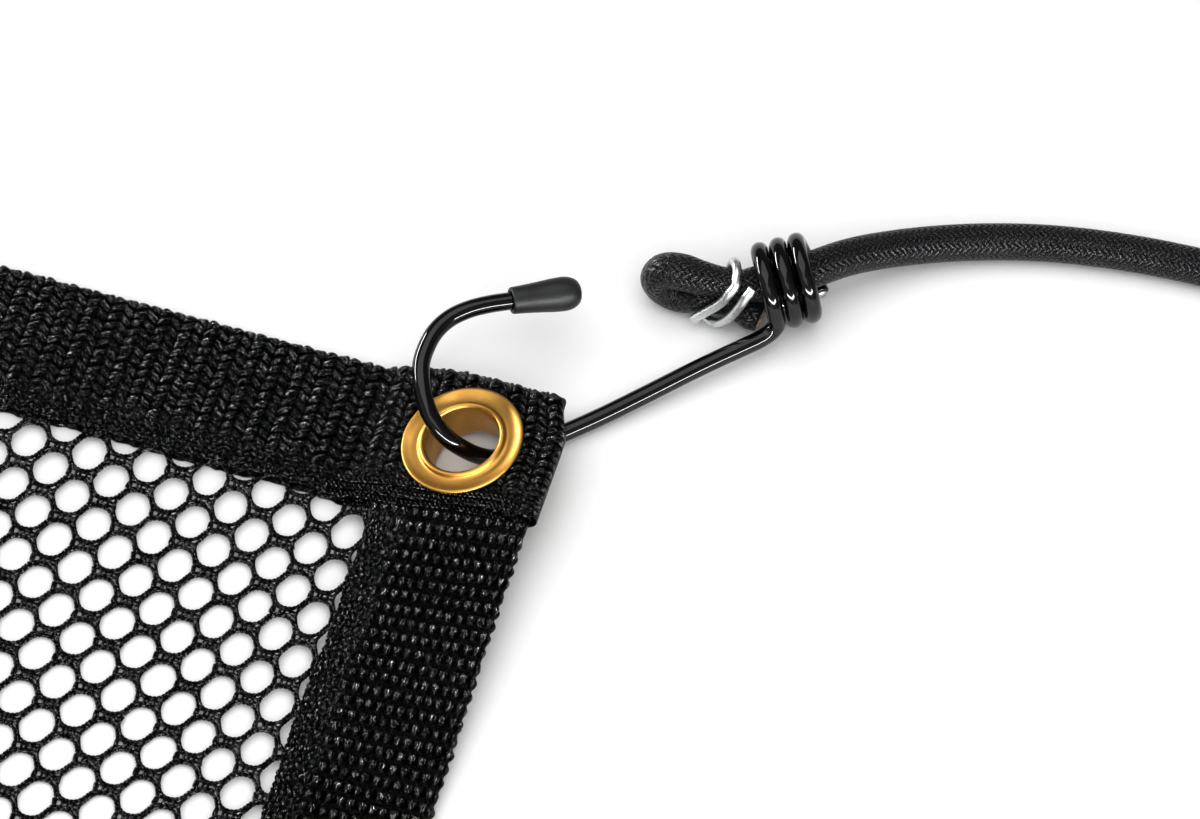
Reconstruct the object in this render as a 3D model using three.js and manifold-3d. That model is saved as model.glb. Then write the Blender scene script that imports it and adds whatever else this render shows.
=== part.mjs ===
// Car dog barrier net: a knitted mesh panel bound on its four edges with folded
// webbing, a brass eyelet in each corner, and a bungee cord whose wire hooks clip
// into the eyelets. One hook is in the eyelet of the corner at +X +Y, and the other
// end of the cord lies wound up beside it. The net lies flat on a surface.
//
// Millimetres, +Z up. The origin is under the middle of the net, on the surface.

import * as THREE from 'three';
import { mergeVertices } from 'three/addons/utils/BufferGeometryUtils.js';
import Module from 'manifold-3d';

const wasm = await Module();
wasm.setup();

// ---------------------------------------------------------------- driving sizes

const NET_LENGTH = 1000;        // along X, from fold to fold
const NET_WIDTH = 650;          // along Y, from fold to fold
const BAND_WIDTH = 35;          // 70 mm webbing folded in half over the edge
const WEB = 1.1;                // one layer of webbing
const MESH = 1.2;               // the knitted mesh
const GAP = 0.3;                // between layers that lie on each other

const EYELET_FROM_END = 18.6;   // eyelet axis to the end of the band
const EYELET_FROM_FOLD = 17.8;  // eyelet axis to the folded edge
const EYELET_BORE = 8.0;        // radius of the hole that a hook goes through
const EYELET_BARREL = 8.6;
const EYELET_FLANGE = 13.2;

const CORD = 4.0;               // radius of the 8 mm bungee cord
const WIRE = 1.9;               // radius of the coated hook wire
const CLIP_WIRE = 1.05;         // radius of the steel clip that closes each cord end

const LEVER_START = 38;         // the hooked corner starts to rise this far from its end
const LEVER_SLOPE = 0.24;       // and rises at this slope, because the hook passes under it

// ------------------------------------------------------------- worked-out sizes

const HALF_X = NET_LENGTH / 2;
const HALF_Y = NET_WIDTH / 2;
const BAND_HALF = MESH / 2 + GAP + WEB;       // half the thickness of a bound edge
const CORNER_HALF = BAND_HALF + GAP + WEB;    // where one band wraps over the other
const EYELET_LIFT = 1.8;        // room for the turned rim under the plain corners
const BAND_OVERHANG = 1.5;      // the long bands reach past the folds of the short ones
const CORNER_BULGE = 1.2;       // the fold stands out where it wraps the short band

const INNER_X = HALF_X - BAND_WIDTH;          // where the mesh shows
const INNER_Y = HALF_Y - BAND_WIDTH;

// ---------------------------------------------------------------- small helpers

const smooth = (t) => {
  const u = Math.min(Math.max(t, 0), 1);
  return u * u * (3 - 2 * u);
};

// Zero, then a straight rise, with the bend between them rounded over +-3.
const ramp = (u) => {
  const blend = 3;
  if (u > blend) return u;
  return u < -blend ? 0 : (u + blend) ** 2 / (4 * blend);
};

const colours = { webbing: 0x121213, mesh: 0x0e0e0f, brass: 0xc8962e, steel: 0xb9bdbd,
  wire: 0x0b0b0c, rubber: 0x232425, cord: 0x151516 };

const finishes = {
  webbing: new THREE.MeshStandardMaterial({ color: colours.webbing, roughness: 0.7, metalness: 0 }),
  mesh: new THREE.MeshStandardMaterial({ color: colours.mesh, roughness: 0.7, metalness: 0 }),
  brass: new THREE.MeshStandardMaterial({ color: colours.brass, roughness: 0.25, metalness: 1 }),
  steel: new THREE.MeshStandardMaterial({ color: colours.steel, roughness: 0.35, metalness: 1 }),
  wire: new THREE.MeshStandardMaterial({ color: colours.wire, roughness: 0.15, metalness: 0 }),
  rubber: new THREE.MeshStandardMaterial({ color: colours.rubber, roughness: 0.6, metalness: 0 }),
  cord: new THREE.MeshStandardMaterial({ color: colours.cord, roughness: 0.75, metalness: 0 }),
};

const net = new THREE.Group();

function addPiece(name, geometry, finish, parent = net) {
  const piece = new THREE.Mesh(geometry, finishes[finish]);
  piece.name = name;
  parent.add(piece);
  return piece;
}

// A geometry with its shared corners merged, so that it is one closed mesh.
function closed(geometry) {
  const bare = geometry.clone();
  bare.deleteAttribute('normal');
  bare.deleteAttribute('uv');
  return mergeVertices(bare, 1e-4);
}

function toSolid(geometry) {
  const merged = closed(geometry);
  return new wasm.Manifold(new wasm.Mesh({
    numProp: 3,
    vertProperties: new Float32Array(merged.getAttribute('position').array),
    triVerts: new Uint32Array(merged.getIndex().array),
  }));
}

function fromSolid(solid) {
  const mesh = solid.getMesh();
  const geometry = new THREE.BufferGeometry();
  geometry.setAttribute('position', new THREE.BufferAttribute(mesh.vertProperties, 3));
  geometry.setIndex(new THREE.BufferAttribute(mesh.triVerts, 1));
  return geometry;
}

// Moves each vertex of a geometry to where place(x, y, z) says.
function reshape(geometry, place) {
  const positions = geometry.getAttribute('position');
  for (let i = 0; i < positions.count; i += 1) {
    const [x, y, z] = place(positions.getX(i), positions.getY(i), positions.getZ(i));
    positions.setXYZ(i, x, y, z);
  }
  return geometry;
}

// ------------------------------------------------- how the cloth lies and rises

// Grid lines across the net: close together where the cloth changes height.
const LINES_X = [
  -465, -461, -457, -441, -425, -340, -255, -170, -85, 0,
  85, 170, 255, 340, 425, 441, 457, 461, 465,
];
const LINES_Y = [
  -290, -286, -282, -266, -250, -190, -95, 0, 95,
  190, 215, 225, 235, 245, 255, 265, 275, 282, 286, 290,
];
const LINES_IN_RIGHT_BAND = [473, 481, 489];

// 1 where a long band wraps over a short one, 0 elsewhere.
const cornerShare = (x, y) => (
  smooth((Math.abs(x) - 457) / 8) * smooth((Math.abs(y) - 282) / 8)
);

// Height of the underside of a band over the surface.
function lift(x, y) {
  const hooked = x > 0 && y > 0;
  if (hooked) {
    const fade = smooth((y - 215) / 70);
    return LEVER_SLOPE * ramp(x - HALF_X + LEVER_START) * fade;
  }
  return EYELET_LIFT * smooth((Math.abs(x) - 425) / 38) * smooth((Math.abs(y) - 250) / 36);
}

// Height of the middle of a bound edge.
const bandMiddle = (x, y) => (
  BAND_HALF + (CORNER_HALF - BAND_HALF) * cornerShare(x, y) + lift(x, y)
);

// Height of the middle of the mesh: held by the bands, then settled on the surface
// with a few low waves.
function meshMiddle(x, y) {
  const inside = Math.min(INNER_X - Math.abs(x), INNER_Y - Math.abs(y));
  const settled = smooth(inside / 30);
  const wave = 0.5 * (1 + Math.sin(x / 74 + 1.2) * Math.cos(y / 58));
  return bandMiddle(x, y) * (1 - settled) + (MESH / 2 + wave) * settled;
}

// ------------------------------------------------------------------- mesh panel

const PANEL_INSET = 2.8;        // the panel stops this far inside the folds
const PANEL_TRIM = 50;          // its corners are trimmed under the bands

function buildMeshPanel() {
  const linesX = [-HALF_X + PANEL_INSET, ...LINES_X, ...LINES_IN_RIGHT_BAND, HALF_X - PANEL_INSET];
  const linesY = [-HALF_Y + PANEL_INSET, ...LINES_Y, HALF_Y - PANEL_INSET];
  const across = linesX.length - 1;
  const along = linesY.length - 1;
  const sheet = new THREE.BoxGeometry(across, along, MESH, across, along, 1);
  reshape(sheet, (i, j, h) => {
    const x = linesX[Math.round(i + across / 2)];
    const y = linesY[Math.round(j + along / 2)];
    return [x, y, meshMiddle(x, y) + h];
  });
  let panel = toSolid(sheet);
  for (const sideX of [-1, 1]) {
    for (const sideY of [-1, 1]) {
      const reach = 4 * PANEL_TRIM;
      const cutter = new THREE.BoxGeometry(reach, reach, 60);
      cutter.rotateZ(Math.PI / 4);
      const out = (reach / 2 - PANEL_TRIM / Math.SQRT2) / Math.SQRT2;
      cutter.translate(sideX * (HALF_X + out), sideY * (HALF_Y + out), 0);
      panel = panel.subtract(toSolid(cutter));
    }
  }
  addPiece('mesh_panel', fromSolid(panel), 'mesh');
}

// --------------------------------------------------------------------- bindings

// Section of a folded band: x from the fold inwards, y up from the middle. Each leg
// has an extra line at each of the given distances.
function bandSection(creases) {
  const inner = BAND_HALF - WEB;
  const section = new THREE.Shape();
  const leg = (distances, height) => {
    for (const distance of distances) section.lineTo(distance, height);
  };
  const outwards = [...creases].sort((a, b) => b - a);
  const inwards = [...outwards].reverse();
  section.moveTo(BAND_WIDTH, BAND_HALF);
  leg([...outwards, BAND_HALF], BAND_HALF);
  section.absarc(BAND_HALF, 0, BAND_HALF, Math.PI / 2, -Math.PI / 2, false);
  leg([...inwards, BAND_WIDTH], -BAND_HALF);
  leg([BAND_WIDTH, ...outwards, BAND_HALF], -inner);
  section.absarc(BAND_HALF, 0, inner, -Math.PI / 2, Math.PI / 2, true);
  leg([...inwards, BAND_WIDTH], inner);
  section.closePath();
  return section;
}

// Opens the fold of a section point by grow on each side of the middle.
function openFold(inwards, height, grow) {
  if (inwards < BAND_HALF - 1e-6) {
    const radius = Math.hypot(inwards - BAND_HALF, height);
    const scale = (radius + grow) / radius;
    return [BAND_HALF + grow + (inwards - BAND_HALF) * scale, height * scale];
  }
  const share = (BAND_WIDTH - inwards) / (BAND_WIDTH - BAND_HALF);
  return [inwards + grow * share, height + Math.sign(height) * grow];
}

// A band whose cross-sections stand at the given lines. toPlan turns a distance
// along the band and one inwards from the fold into x and y.
function bandGeometry(lines, creases, growAt, toPlan) {
  const steps = lines.length - 1;
  const band = new THREE.ExtrudeGeometry(bandSection(creases), {
    depth: steps, steps, bevelEnabled: false, curveSegments: 4,
  });
  return reshape(band, (inwards, height, step) => {
    const along = lines[Math.round(step)];
    const [across, rise] = openFold(inwards, height, growAt(along));
    const [x, y] = toPlan(along, across);
    return [x, y, bandMiddle(x, y) + rise];
  });
}

const CORNERS = [
  { name: 'back_right', sideX: 1, sideY: 1 },
  { name: 'back_left', sideX: -1, sideY: 1 },
  { name: 'front_left', sideX: -1, sideY: -1 },
  { name: 'front_right', sideX: 1, sideY: -1 },
];

// The axis of a corner's eyelet: its middle point and its tilt about Y.
function eyeletSeat(corner) {
  const x = corner.sideX * (HALF_X - EYELET_FROM_END);
  const y = corner.sideY * (HALF_Y - EYELET_FROM_FOLD);
  const tilt = corner.name === 'back_right' ? -Math.atan(LEVER_SLOPE) : 0;
  return { x, y, z: bandMiddle(x, y), tilt };
}

function seat(geometry, corner) {
  const { x, y, z, tilt } = eyeletSeat(corner);
  geometry.rotateY(tilt);
  geometry.translate(x, y, z);
  return geometry;
}

function punched(geometry) {
  let solid = toSolid(geometry);
  for (const corner of CORNERS) {
    const punch = new THREE.CylinderGeometry(EYELET_BARREL + GAP, EYELET_BARREL + GAP, 24, 20);
    punch.rotateX(Math.PI / 2);
    solid = solid.subtract(toSolid(seat(punch, corner)));
  }
  return fromSolid(solid);
}

function buildBands() {
  const longEnd = HALF_X + BAND_OVERHANG;
  const longLines = [-longEnd, ...LINES_X, longEnd];
  const shareAt = (x) => cornerShare(x, HALF_Y);
  for (const [name, side] of [['back_binding', 1], ['front_binding', -1]]) {
    const band = bandGeometry(
      side > 0 ? [...longLines].reverse() : longLines,
      [],
      (x) => (CORNER_HALF - BAND_HALF) * shareAt(x),
      (x, across) => [x, side * (HALF_Y + CORNER_BULGE * shareAt(x) - across)],
    );
    addPiece(name, punched(band), 'webbing');
  }
  const shortEnd = HALF_Y - 4;
  const shortLines = [-shortEnd, ...LINES_Y, shortEnd];
  const rightCreases = LINES_IN_RIGHT_BAND.map((x) => HALF_X - x);
  for (const [name, side] of [['right_binding', 1], ['left_binding', -1]]) {
    const band = bandGeometry(
      side > 0 ? shortLines : [...shortLines].reverse(),
      side > 0 ? rightCreases : [],
      () => 0,
      (y, across) => [side * (HALF_X - across), y],
    );
    addPiece(name, punched(band), 'webbing');
  }
}

// ---------------------------------------------------------------------- eyelets

// Turns a closed profile of [radius, height] rows about the Z axis.
function turned(profile, segments) {
  const rows = [...profile, profile[0]].map(([radius, height]) => new THREE.Vector2(radius, height));
  const geometry = new THREE.LatheGeometry(rows, segments);
  geometry.rotateX(Math.PI / 2);
  return closed(geometry);
}

function buildEyelets() {
  const top = CORNER_HALF + GAP;          // underside of the flange
  const below = CORNER_HALF + GAP;        // upper face of the washer
  const washer = 0.5;
  const rim = below + washer + GAP;       // upper side of the rim that is turned over it
  const eyeletProfile = [
    [EYELET_BORE, -rim],
    [EYELET_BARREL - 0.2, -rim - 0.5],
    [10.4, -rim - 0.4],
    [10.4, -rim],
    [EYELET_BARREL, -rim],
    [EYELET_BARREL, top],
    [EYELET_FLANGE - 0.2, top],
    [EYELET_FLANGE, top + 0.3],
    [12.6, top + 0.7],
    [10.4, top + 0.7],
    [EYELET_BORE + 1.2, top + 1.2],
    [EYELET_BORE + 0.5, top + 1.0],
    [EYELET_BORE, top + 0.4],
  ];
  const washerProfile = [
    [EYELET_BARREL + GAP, -below - washer],
    [12.5, -below - washer],
    [12.5, -below],
    [EYELET_BARREL + GAP, -below],
  ];
  for (const corner of CORNERS) {
    addPiece(`eyelet_${corner.name}`, seat(turned(eyeletProfile, 20), corner), 'brass');
    addPiece(`washer_${corner.name}`, seat(turned(washerProfile, 20), corner), 'brass');
  }
}

// ----------------------------------------------------- round stock along a route

// A smooth curve through rows of [x, y, z], with the radius in a fourth column where
// it changes.
function routeThrough(rows) {
  const curve = new THREE.CatmullRomCurve3(
    rows.map(([x, y, z]) => new THREE.Vector3(x, y, z)), false, 'centripetal');
  curve.arcLengthDivisions = 20 * rows.length;
  return curve;
}

// Round stock along a route: a straight rod whose cross-sections are carried to the
// route, each at its own radius.
function rodAlong(rows, radius, steps, sides) {
  const route = routeThrough(rows);
  const frames = route.computeFrenetFrames(steps, false);
  const section = new THREE.Shape();
  for (let i = 0; i < sides; i += 1) {
    const angle = (2 * Math.PI * (i + 0.5)) / sides;
    const corner = [Math.cos(angle), Math.sin(angle)];
    if (i === 0) section.moveTo(...corner);
    else section.lineTo(...corner);
  }
  section.closePath();
  const rod = new THREE.ExtrudeGeometry(section, { depth: steps, steps, bevelEnabled: false });
  const radiusAt = (share) => {
    const row = route.getUtoTmapping(share) * (rows.length - 1);
    const before = rows[Math.floor(row)][3] ?? radius;
    const after = rows[Math.min(Math.floor(row) + 1, rows.length - 1)][3] ?? radius;
    return before + (after - before) * (row - Math.floor(row));
  };
  reshape(rod, (u, v, step) => {
    const i = Math.round(step);
    const middle = route.getPointAt(i / steps);
    const wide = radiusAt(i / steps);
    middle.addScaledVector(frames.normals[i], u * wide);
    middle.addScaledVector(frames.binormals[i], v * wide);
    return middle.toArray();
  });
  return closed(rod);
}

// -------------------------------------------------------- the two hooked ends

// Each end of the cord has its own frame: the middle of the hook's wire coil stands
// over the frame's origin, and the free cord leaves along the frame's +X.
const COIL = {
  height: 10,                   // axis over the surface
  radius: 8,                    // to the middle of the wire
  pitch: 4.1,
  lean: 1.5,                    // the turns lean forwards at the bottom
  start: 90,                    // degrees round from the lowest point
  end: 1078,
  step: 26,
};

const NEAR_END = { name: 'near', x: HALF_X + 33.7, y: HALF_Y + 40.5, turn: 34 };
const FAR_END = { name: 'far', x: HALF_X + 220.2, y: HALF_Y - 21, turn: 90 };

function endFrame(end) {
  const frame = new THREE.Group();
  frame.position.set(end.x, end.y, 0);
  frame.rotation.z = THREE.MathUtils.degToRad(end.turn);
  net.add(frame);
  return frame;
}

function coilRows() {
  const rows = [];
  for (let angle = COIL.end; angle >= COIL.start; angle -= COIL.step) {
    const turn = THREE.MathUtils.degToRad(angle);
    rows.push([
      COIL.pitch * ((angle - 450) / 360) + COIL.lean * Math.cos(turn),
      -COIL.radius * Math.sin(turn),
      COIL.height - COIL.radius * Math.cos(turn),
    ]);
  }
  return rows;
}

// From the coil to the shank, x y z.
const HOOK_BEND = [
  [-4.1, -8.3, 7.9],
  [-5.7, -8.8, 6.3],
  [-8.3, -9.4, 5.6],
  [-11.2, -9.9, 5.4],
];

// The hooked end's shank lies under the corner, comes up through the eyelet and
// turns back over the band. x y z.
const HOOKED_SHANK = [
  [-21.9, -11.8, 4.9],
  [-36.2, -14.6, 3.8],
  [-45.8, -16.4, 3.1],
  [-54.1, -17.6, 2.5],
  [-61.0, -18.5, 2.1],
  [-66.4, -18.9, 2.0],
  [-70.0, -19.3, 2.6],
  [-73.0, -19.4, 5.0],
  [-76.0, -19.0, 8.2],
  [-79.5, -17.0, 11.9],
  [-81.8, -12.8, 14.9],
  [-82.0, -7.4, 17.1],
  [-80.8, -2.0, 18.5],
  [-78.4, 1.8, 19.1],
  [-75.6, 4.6, 19.5],
  [-71.8, 6.7, 19.6],
  [-67.2, 7.8, 19.3],
  [-62.7, 8.1, 18.7],
  [-58.8, 8.0, 18.1],
  [-54.6, 7.8, 17.5],
  [-50.2, 7.6, 16.8],
];

// The loose end's hook lies flat: a straight shank, a round bend and a straight tip.
const LOOSE_SHANK_END = [-62, -20.3];
const LOOSE_BEND_RADIUS = 16;
const LOOSE_BEND_TURN = 190;
const LOOSE_TIP = 20;

function looseShank() {
  const low = 2.1;
  const capHeight = 4.0;
  const [fromX, fromY, fromZ] = HOOK_BEND[HOOK_BEND.length - 1];
  const [toX, toY] = LOOSE_SHANK_END;
  const rows = [];
  for (const share of [0.25, 0.5, 0.75, 1]) {
    rows.push([
      fromX + (toX - fromX) * share,
      fromY + (toY - fromY) * share,
      fromZ + (low - fromZ) * share,
    ]);
  }
  const heading = Math.atan2(toY - fromY, toX - fromX);
  const centreX = toX + LOOSE_BEND_RADIUS * Math.sin(heading);
  const centreY = toY - LOOSE_BEND_RADIUS * Math.cos(heading);
  const pieces = 10;
  let angle = heading + Math.PI / 2;
  for (let i = 1; i <= pieces; i += 1) {
    angle -= THREE.MathUtils.degToRad(LOOSE_BEND_TURN) / pieces;
    rows.push([
      centreX + LOOSE_BEND_RADIUS * Math.cos(angle),
      centreY + LOOSE_BEND_RADIUS * Math.sin(angle),
      low,
    ]);
  }
  const [bendX, bendY] = rows[rows.length - 1];
  for (const share of [0.34, 0.67, 1]) {
    rows.push([
      bendX + LOOSE_TIP * share * Math.sin(angle),
      bendY - LOOSE_TIP * share * Math.cos(angle),
      low + (capHeight - low) * smooth(share * 1.6),
    ]);
  }
  return rows;
}

// Rubber cap pushed over the wire's end. The wire ends CAP_DEPTH inside its mouth.
const CAP_DEPTH = 8;

function capGeometry(rows) {
  const bore = WIRE + 0.3;
  const profile = [
    [bore, -CAP_DEPTH],
    [2.6, -CAP_DEPTH],
    [2.9, -CAP_DEPTH + 0.4],
    [3.3, -1],
    [3.65, 3.4],
    [3.5, 5.4],
    [2.7, 6.9],
    [1.4, 7.6],
    [0, 7.8],
    [0, 0.5],
    [bore, 0.5],
  ];
  const cap = turned(profile, 14);
  const tip = new THREE.Vector3(...rows[rows.length - 1]);
  const before = new THREE.Vector3(...rows[rows.length - 2]);
  const along = tip.clone().sub(before).normalize();
  const swing = new THREE.Quaternion().setFromUnitVectors(new THREE.Vector3(0, 0, 1), along);
  cap.applyQuaternion(swing);
  cap.translate(tip.x, tip.y, tip.z);
  return cap;
}

// The cord's end, from its cut tail under the fold, round the fold and through the
// hook's coil. x y z radius: the cord is pinched where the clip holds it.
const FOLD_ROUTE = [
  [-6.1, -3.6, 4.6, 3.1],
  [-7.5, -2.4, 4.9, 3.6],
  [-9.2, -0.6, 5.2, 3.3],
  [-11.0, 1.2, 5.7, 3.0],
  [-13.2, 2.5, 6.0, 3.0],
  [-16.9, 4.6, 5.9, 3.2],
  [-20.4, 7.1, 4.3, 4.0],
  [-23.4, 9.1, 5.3, 4.0],
  [-24.7, 9.8, 8.5, 4.0],
  [-23.4, 9.2, 11.7, 4.0],
  [-20.4, 7.2, 13.0, 4.0],
  [-16.9, 4.7, 13.0, 3.3],
  [-13.2, 2.6, 12.8, 3.0],
  [-9.7, 0.8, 12.6, 3.3],
  [-6.2, 0.4, 11.9, 3.9],
  [-3.7, 0.4, 11.6, 4.0],
  [0.3, 0.3, 11.4, 4.0],
  [4.2, 0.3, 11.4, 4.0],
  [7.5, 0.9, 11.2, 4.0],
];

// Steel clip: one and a quarter turns of wire round both legs of the fold. It leans,
// and its two ends lie against the front of the legs.
const CLIP = {
  x: -13.2,
  y: 2.6,
  height: 9.45,
  heading: 154,
  round: 4.65,          // from a leg's axis to the middle of the wire
  proud: 0.5,           // how far the first quarter turn stands off the tail
  reach: 3.4,           // half the distance between the legs
  start: 40,            // degrees round from the highest point
  end: 480,
  step: 16,
};

// How far along the legs the wire is: degrees round, distance towards the fold.
const CLIP_ALONG = [
  [40, -7.3], [68, -5.6], [88, -3.9], [110, -1.8], [130, 1.2], [150, 2.7],
  [180, 2.7], [230, 1.2], [275, -1.2], [315, -2.6], [340, -3.1], [360, -3.5],
  [400, -3.6], [430, -1.8], [450, 0.8], [465, 3.2], [480, 5.2],
];

function clipAlong(angle) {
  const next = Math.max(1, CLIP_ALONG.findIndex(([degrees]) => degrees >= angle));
  const [fromAngle, from] = CLIP_ALONG[next - 1];
  const [toAngle, to] = CLIP_ALONG[next];
  return from + (to - from) * ((angle - fromAngle) / (toAngle - fromAngle));
}

function clipRows() {
  const heading = THREE.MathUtils.degToRad(CLIP.heading);
  const alongX = Math.cos(heading);
  const alongY = Math.sin(heading);
  const rows = [];
  for (let angle = CLIP.start; angle <= CLIP.end; angle += CLIP.step) {
    const turn = THREE.MathUtils.degToRad(angle);
    const along = clipAlong(angle);
    const early = 1 - smooth((angle - 120) / 60);
    const standsOff = CLIP.proud * early + 0.1 * Math.max(along - 1.5, 0);
    const round = CLIP.round + standsOff;
    const side = round * Math.sin(turn);
    const reach = CLIP.reach * THREE.MathUtils.clamp(2 * Math.cos(turn), -1, 1);
    rows.push([
      CLIP.x + along * alongX - side * alongY,
      CLIP.y + along * alongY + side * alongX,
      CLIP.height + reach + round * Math.cos(turn),
    ]);
  }
  return rows;
}

function buildEnd(end, shankRows) {
  const frame = endFrame(end);
  const hookRows = [...coilRows(), ...HOOK_BEND, ...shankRows];
  addPiece(`hook_${end.name}`, rodAlong(hookRows, WIRE, 104, 8), 'wire', frame);
  addPiece(`hook_cap_${end.name}`, capGeometry(hookRows), 'rubber', frame);
  addPiece(`cord_clip_${end.name}`, rodAlong(clipRows(), CLIP_WIRE, 34, 6), 'steel', frame);
  addPiece(`cord_fold_${end.name}`, rodAlong(FOLD_ROUTE, CORD, 30, 8), 'cord', frame);
}

// ----------------------------------------------------------------- the free cord

// The wound-up stretch: a ring of one and a quarter turns lying on the surface.
const RING = { x: HALF_X + 187, y: HALF_Y + 30.4, outer: 44, inner: 33.2, height: 8.2 };

// From the near coil in a low arch to the ring, from the hooked corner's fold. x y z.
const ARCH_ROUTE = [
  [40.15, 46.15, 11.2],
  [45.0, 50.8, 10.0],
  [52.0, 56.4, 7.8],
  [62.0, 62.6, 5.4],
  [72.6, 67.1, 4.4],
  [83.5, 70.3, 4.1],
  [94.8, 72.4, 4.1],
  [106.0, 73.7, 4.1],
  [116.3, 74.3, 4.1],
  [130.0, 74.6, 4.1],
  [145.0, 74.6, 4.1],
  [158.0, 74.5, 4.1],
];

// From over the ring to the far coil, from the hooked corner's fold. x y z.
const RETURN_ROUTE = [
  [220.3, 9.0, 12.7],
  [220.3, 3.0, 12.7],
  [219.9, -3.0, 12.3],
  [219.2, -8.5, 11.6],
  [219.1, -12.4, 11.3],
];

function buildCord() {
  const fromCorner = (rows) => rows.map(([x, y, z]) => [HALF_X + x, HALF_Y + y, z]);
  addPiece('cord_arch', rodAlong(fromCorner(ARCH_ROUTE), CORD, 16, 8), 'cord');
  addPiece('cord_return', rodAlong(fromCorner(RETURN_ROUTE), CORD, 5, 8), 'cord');
  const low = 0.1;
  const high = low + RING.height;
  const inside = RING.inner - CORD;
  const outside = RING.outer + CORD;
  const ring = turned([
    [inside, low + 2], [inside + 2, low], [outside - 2, low], [outside, low + 2],
    [outside, high - 2], [outside - 2, high], [inside + 2, high], [inside, high - 2],
  ], 40);
  ring.translate(RING.x, RING.y, 0);
  addPiece('cord_ring', ring, 'cord');
}

// ------------------------------------------------------------------- the object

buildMeshPanel();
buildBands();
buildEyelets();
buildEnd(NEAR_END, HOOKED_SHANK);
buildEnd(FAR_END, looseShank());
buildCord();

export default net;
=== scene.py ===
import math

import bpy
import numpy as np
from bpy.props import FloatProperty, FloatVectorProperty, IntProperty, PointerProperty
from bpy.types import Operator, Panel, PropertyGroup
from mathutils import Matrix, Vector


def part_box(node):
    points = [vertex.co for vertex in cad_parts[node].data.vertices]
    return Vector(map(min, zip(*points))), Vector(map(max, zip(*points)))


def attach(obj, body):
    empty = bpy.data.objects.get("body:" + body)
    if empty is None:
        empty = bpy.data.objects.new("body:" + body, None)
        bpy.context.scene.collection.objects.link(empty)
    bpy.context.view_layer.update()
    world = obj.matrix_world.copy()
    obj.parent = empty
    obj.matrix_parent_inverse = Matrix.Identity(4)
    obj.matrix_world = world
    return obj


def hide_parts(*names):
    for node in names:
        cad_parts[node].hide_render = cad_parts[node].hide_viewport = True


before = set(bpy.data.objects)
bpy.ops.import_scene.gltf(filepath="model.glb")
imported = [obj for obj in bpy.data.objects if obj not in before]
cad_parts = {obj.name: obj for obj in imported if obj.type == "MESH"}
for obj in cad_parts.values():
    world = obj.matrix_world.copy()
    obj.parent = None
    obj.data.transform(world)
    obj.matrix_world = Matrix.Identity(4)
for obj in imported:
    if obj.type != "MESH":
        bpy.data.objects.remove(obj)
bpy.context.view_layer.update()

bl_info = {
    "name": "Dog barrier net",
    "version": (1, 0, 0),
    "blender": (4, 5, 0),
    "location": "3D View > Sidebar > Net",
    "description": "Knitted car barrier net with a webbing border, eyelets and a hooked bungee cord",
    "category": "Object",
}

MM = 0.001

# Sizes in millimetres, in the frame: the net's middle is the origin, on the surface.
HALF_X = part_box("right_binding")[1][0] / MM
HALF_Y = 325.0
BAND = 34.0              # width of the folded webbing, 1 less than its solid
WEB = 1.1                # thickness of one layer of webbing
BAND_HALF = 2.0          # half the thickness of a bound edge
CORNER_HALF = 3.4        # the same where one band wraps over the other
EYELET = (481.4, 307.2)  # eyelet axis, from the middle of the net
LEVER_SLOPE = 0.24       # the hooked corner rises at this slope
LEVER_FROM = 462.0
SLANT = 0.6              # slope of the webbing's strands across a rib
BAND_OVERHANG = 1.5      # the long bands reach past the folds of the short ones
CORNER_BULGE = 1.2       # a long band's fold stands out where it wraps a short one
SHORT_BAND_STOP = 9      # the short bands end this far inside the long folds
RELIEF_STEP = 0.33       # between points where the knitted relief is in the mesh
CUT_ABOVE = 10.4         # round an eyelet, upper faces nearer its axis are left out
CUT_BELOW = 11.8         # the same underneath, where the faces are longer
CORD_RADIUS = 4.0
CLIP_RADIUS = 1.05
COIL_RADIUS = 8.0        # of the hook's coil, to the middle of its wire
COIL_PITCH = 4.1
COIL_LEAN = 1.5          # the coil leans forwards by this at its lowest point


# ------------------------------------------------------------------ shape helpers

def smooth(t):
    """Smoothstep: 0 below 0, 1 above 1, 3t^2 - 2t^3 between."""
    t = np.clip(t, 0.0, 1.0)
    return t * t * (3.0 - 2.0 * t)


def ramp(u):
    """0, then a straight rise of slope 1, joined by a parabola from -3 to 3."""
    return np.where(u > 3, u, np.where(u < -3, 0.0, (u + 3) ** 2 / 12.0))


def corner_share(x, y):
    """1 where a long band wraps a short one, 0 elsewhere."""
    return smooth((np.abs(x) - 457) / 8) * smooth((np.abs(y) - 282) / 8)


def lift(x, y):
    """Height of a band's underside: a tilted plane at the hooked corner, a low step
    at the other three."""
    hooked = LEVER_SLOPE * ramp(x - LEVER_FROM) * smooth((y - 215) / 70)
    plain = 1.8 * smooth((np.abs(x) - 425) / 38) * smooth((np.abs(y) - 250) / 36)
    return np.where((x > 0) & (y > 0), hooked, plain)


def band_middle(x, y):
    """Height of the middle of a bound edge."""
    return BAND_HALF + (CORNER_HALF - BAND_HALF) * corner_share(x, y) + lift(x, y)


def mesh_middle(x, y):
    """Height of the knitted mesh: the bands hold it up, and 30 mm inside them it has
    settled on the surface in low waves."""
    inside = np.minimum(HALF_X - BAND - np.abs(x), HALF_Y - BAND - np.abs(y))
    settled = smooth(inside / 30)
    wave = 0.5 * (1 + np.sin(x / 74 + 1.2) * np.cos(y / 58))
    return band_middle(x, y) * (1 - settled) + (0.6 + wave) * settled


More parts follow.
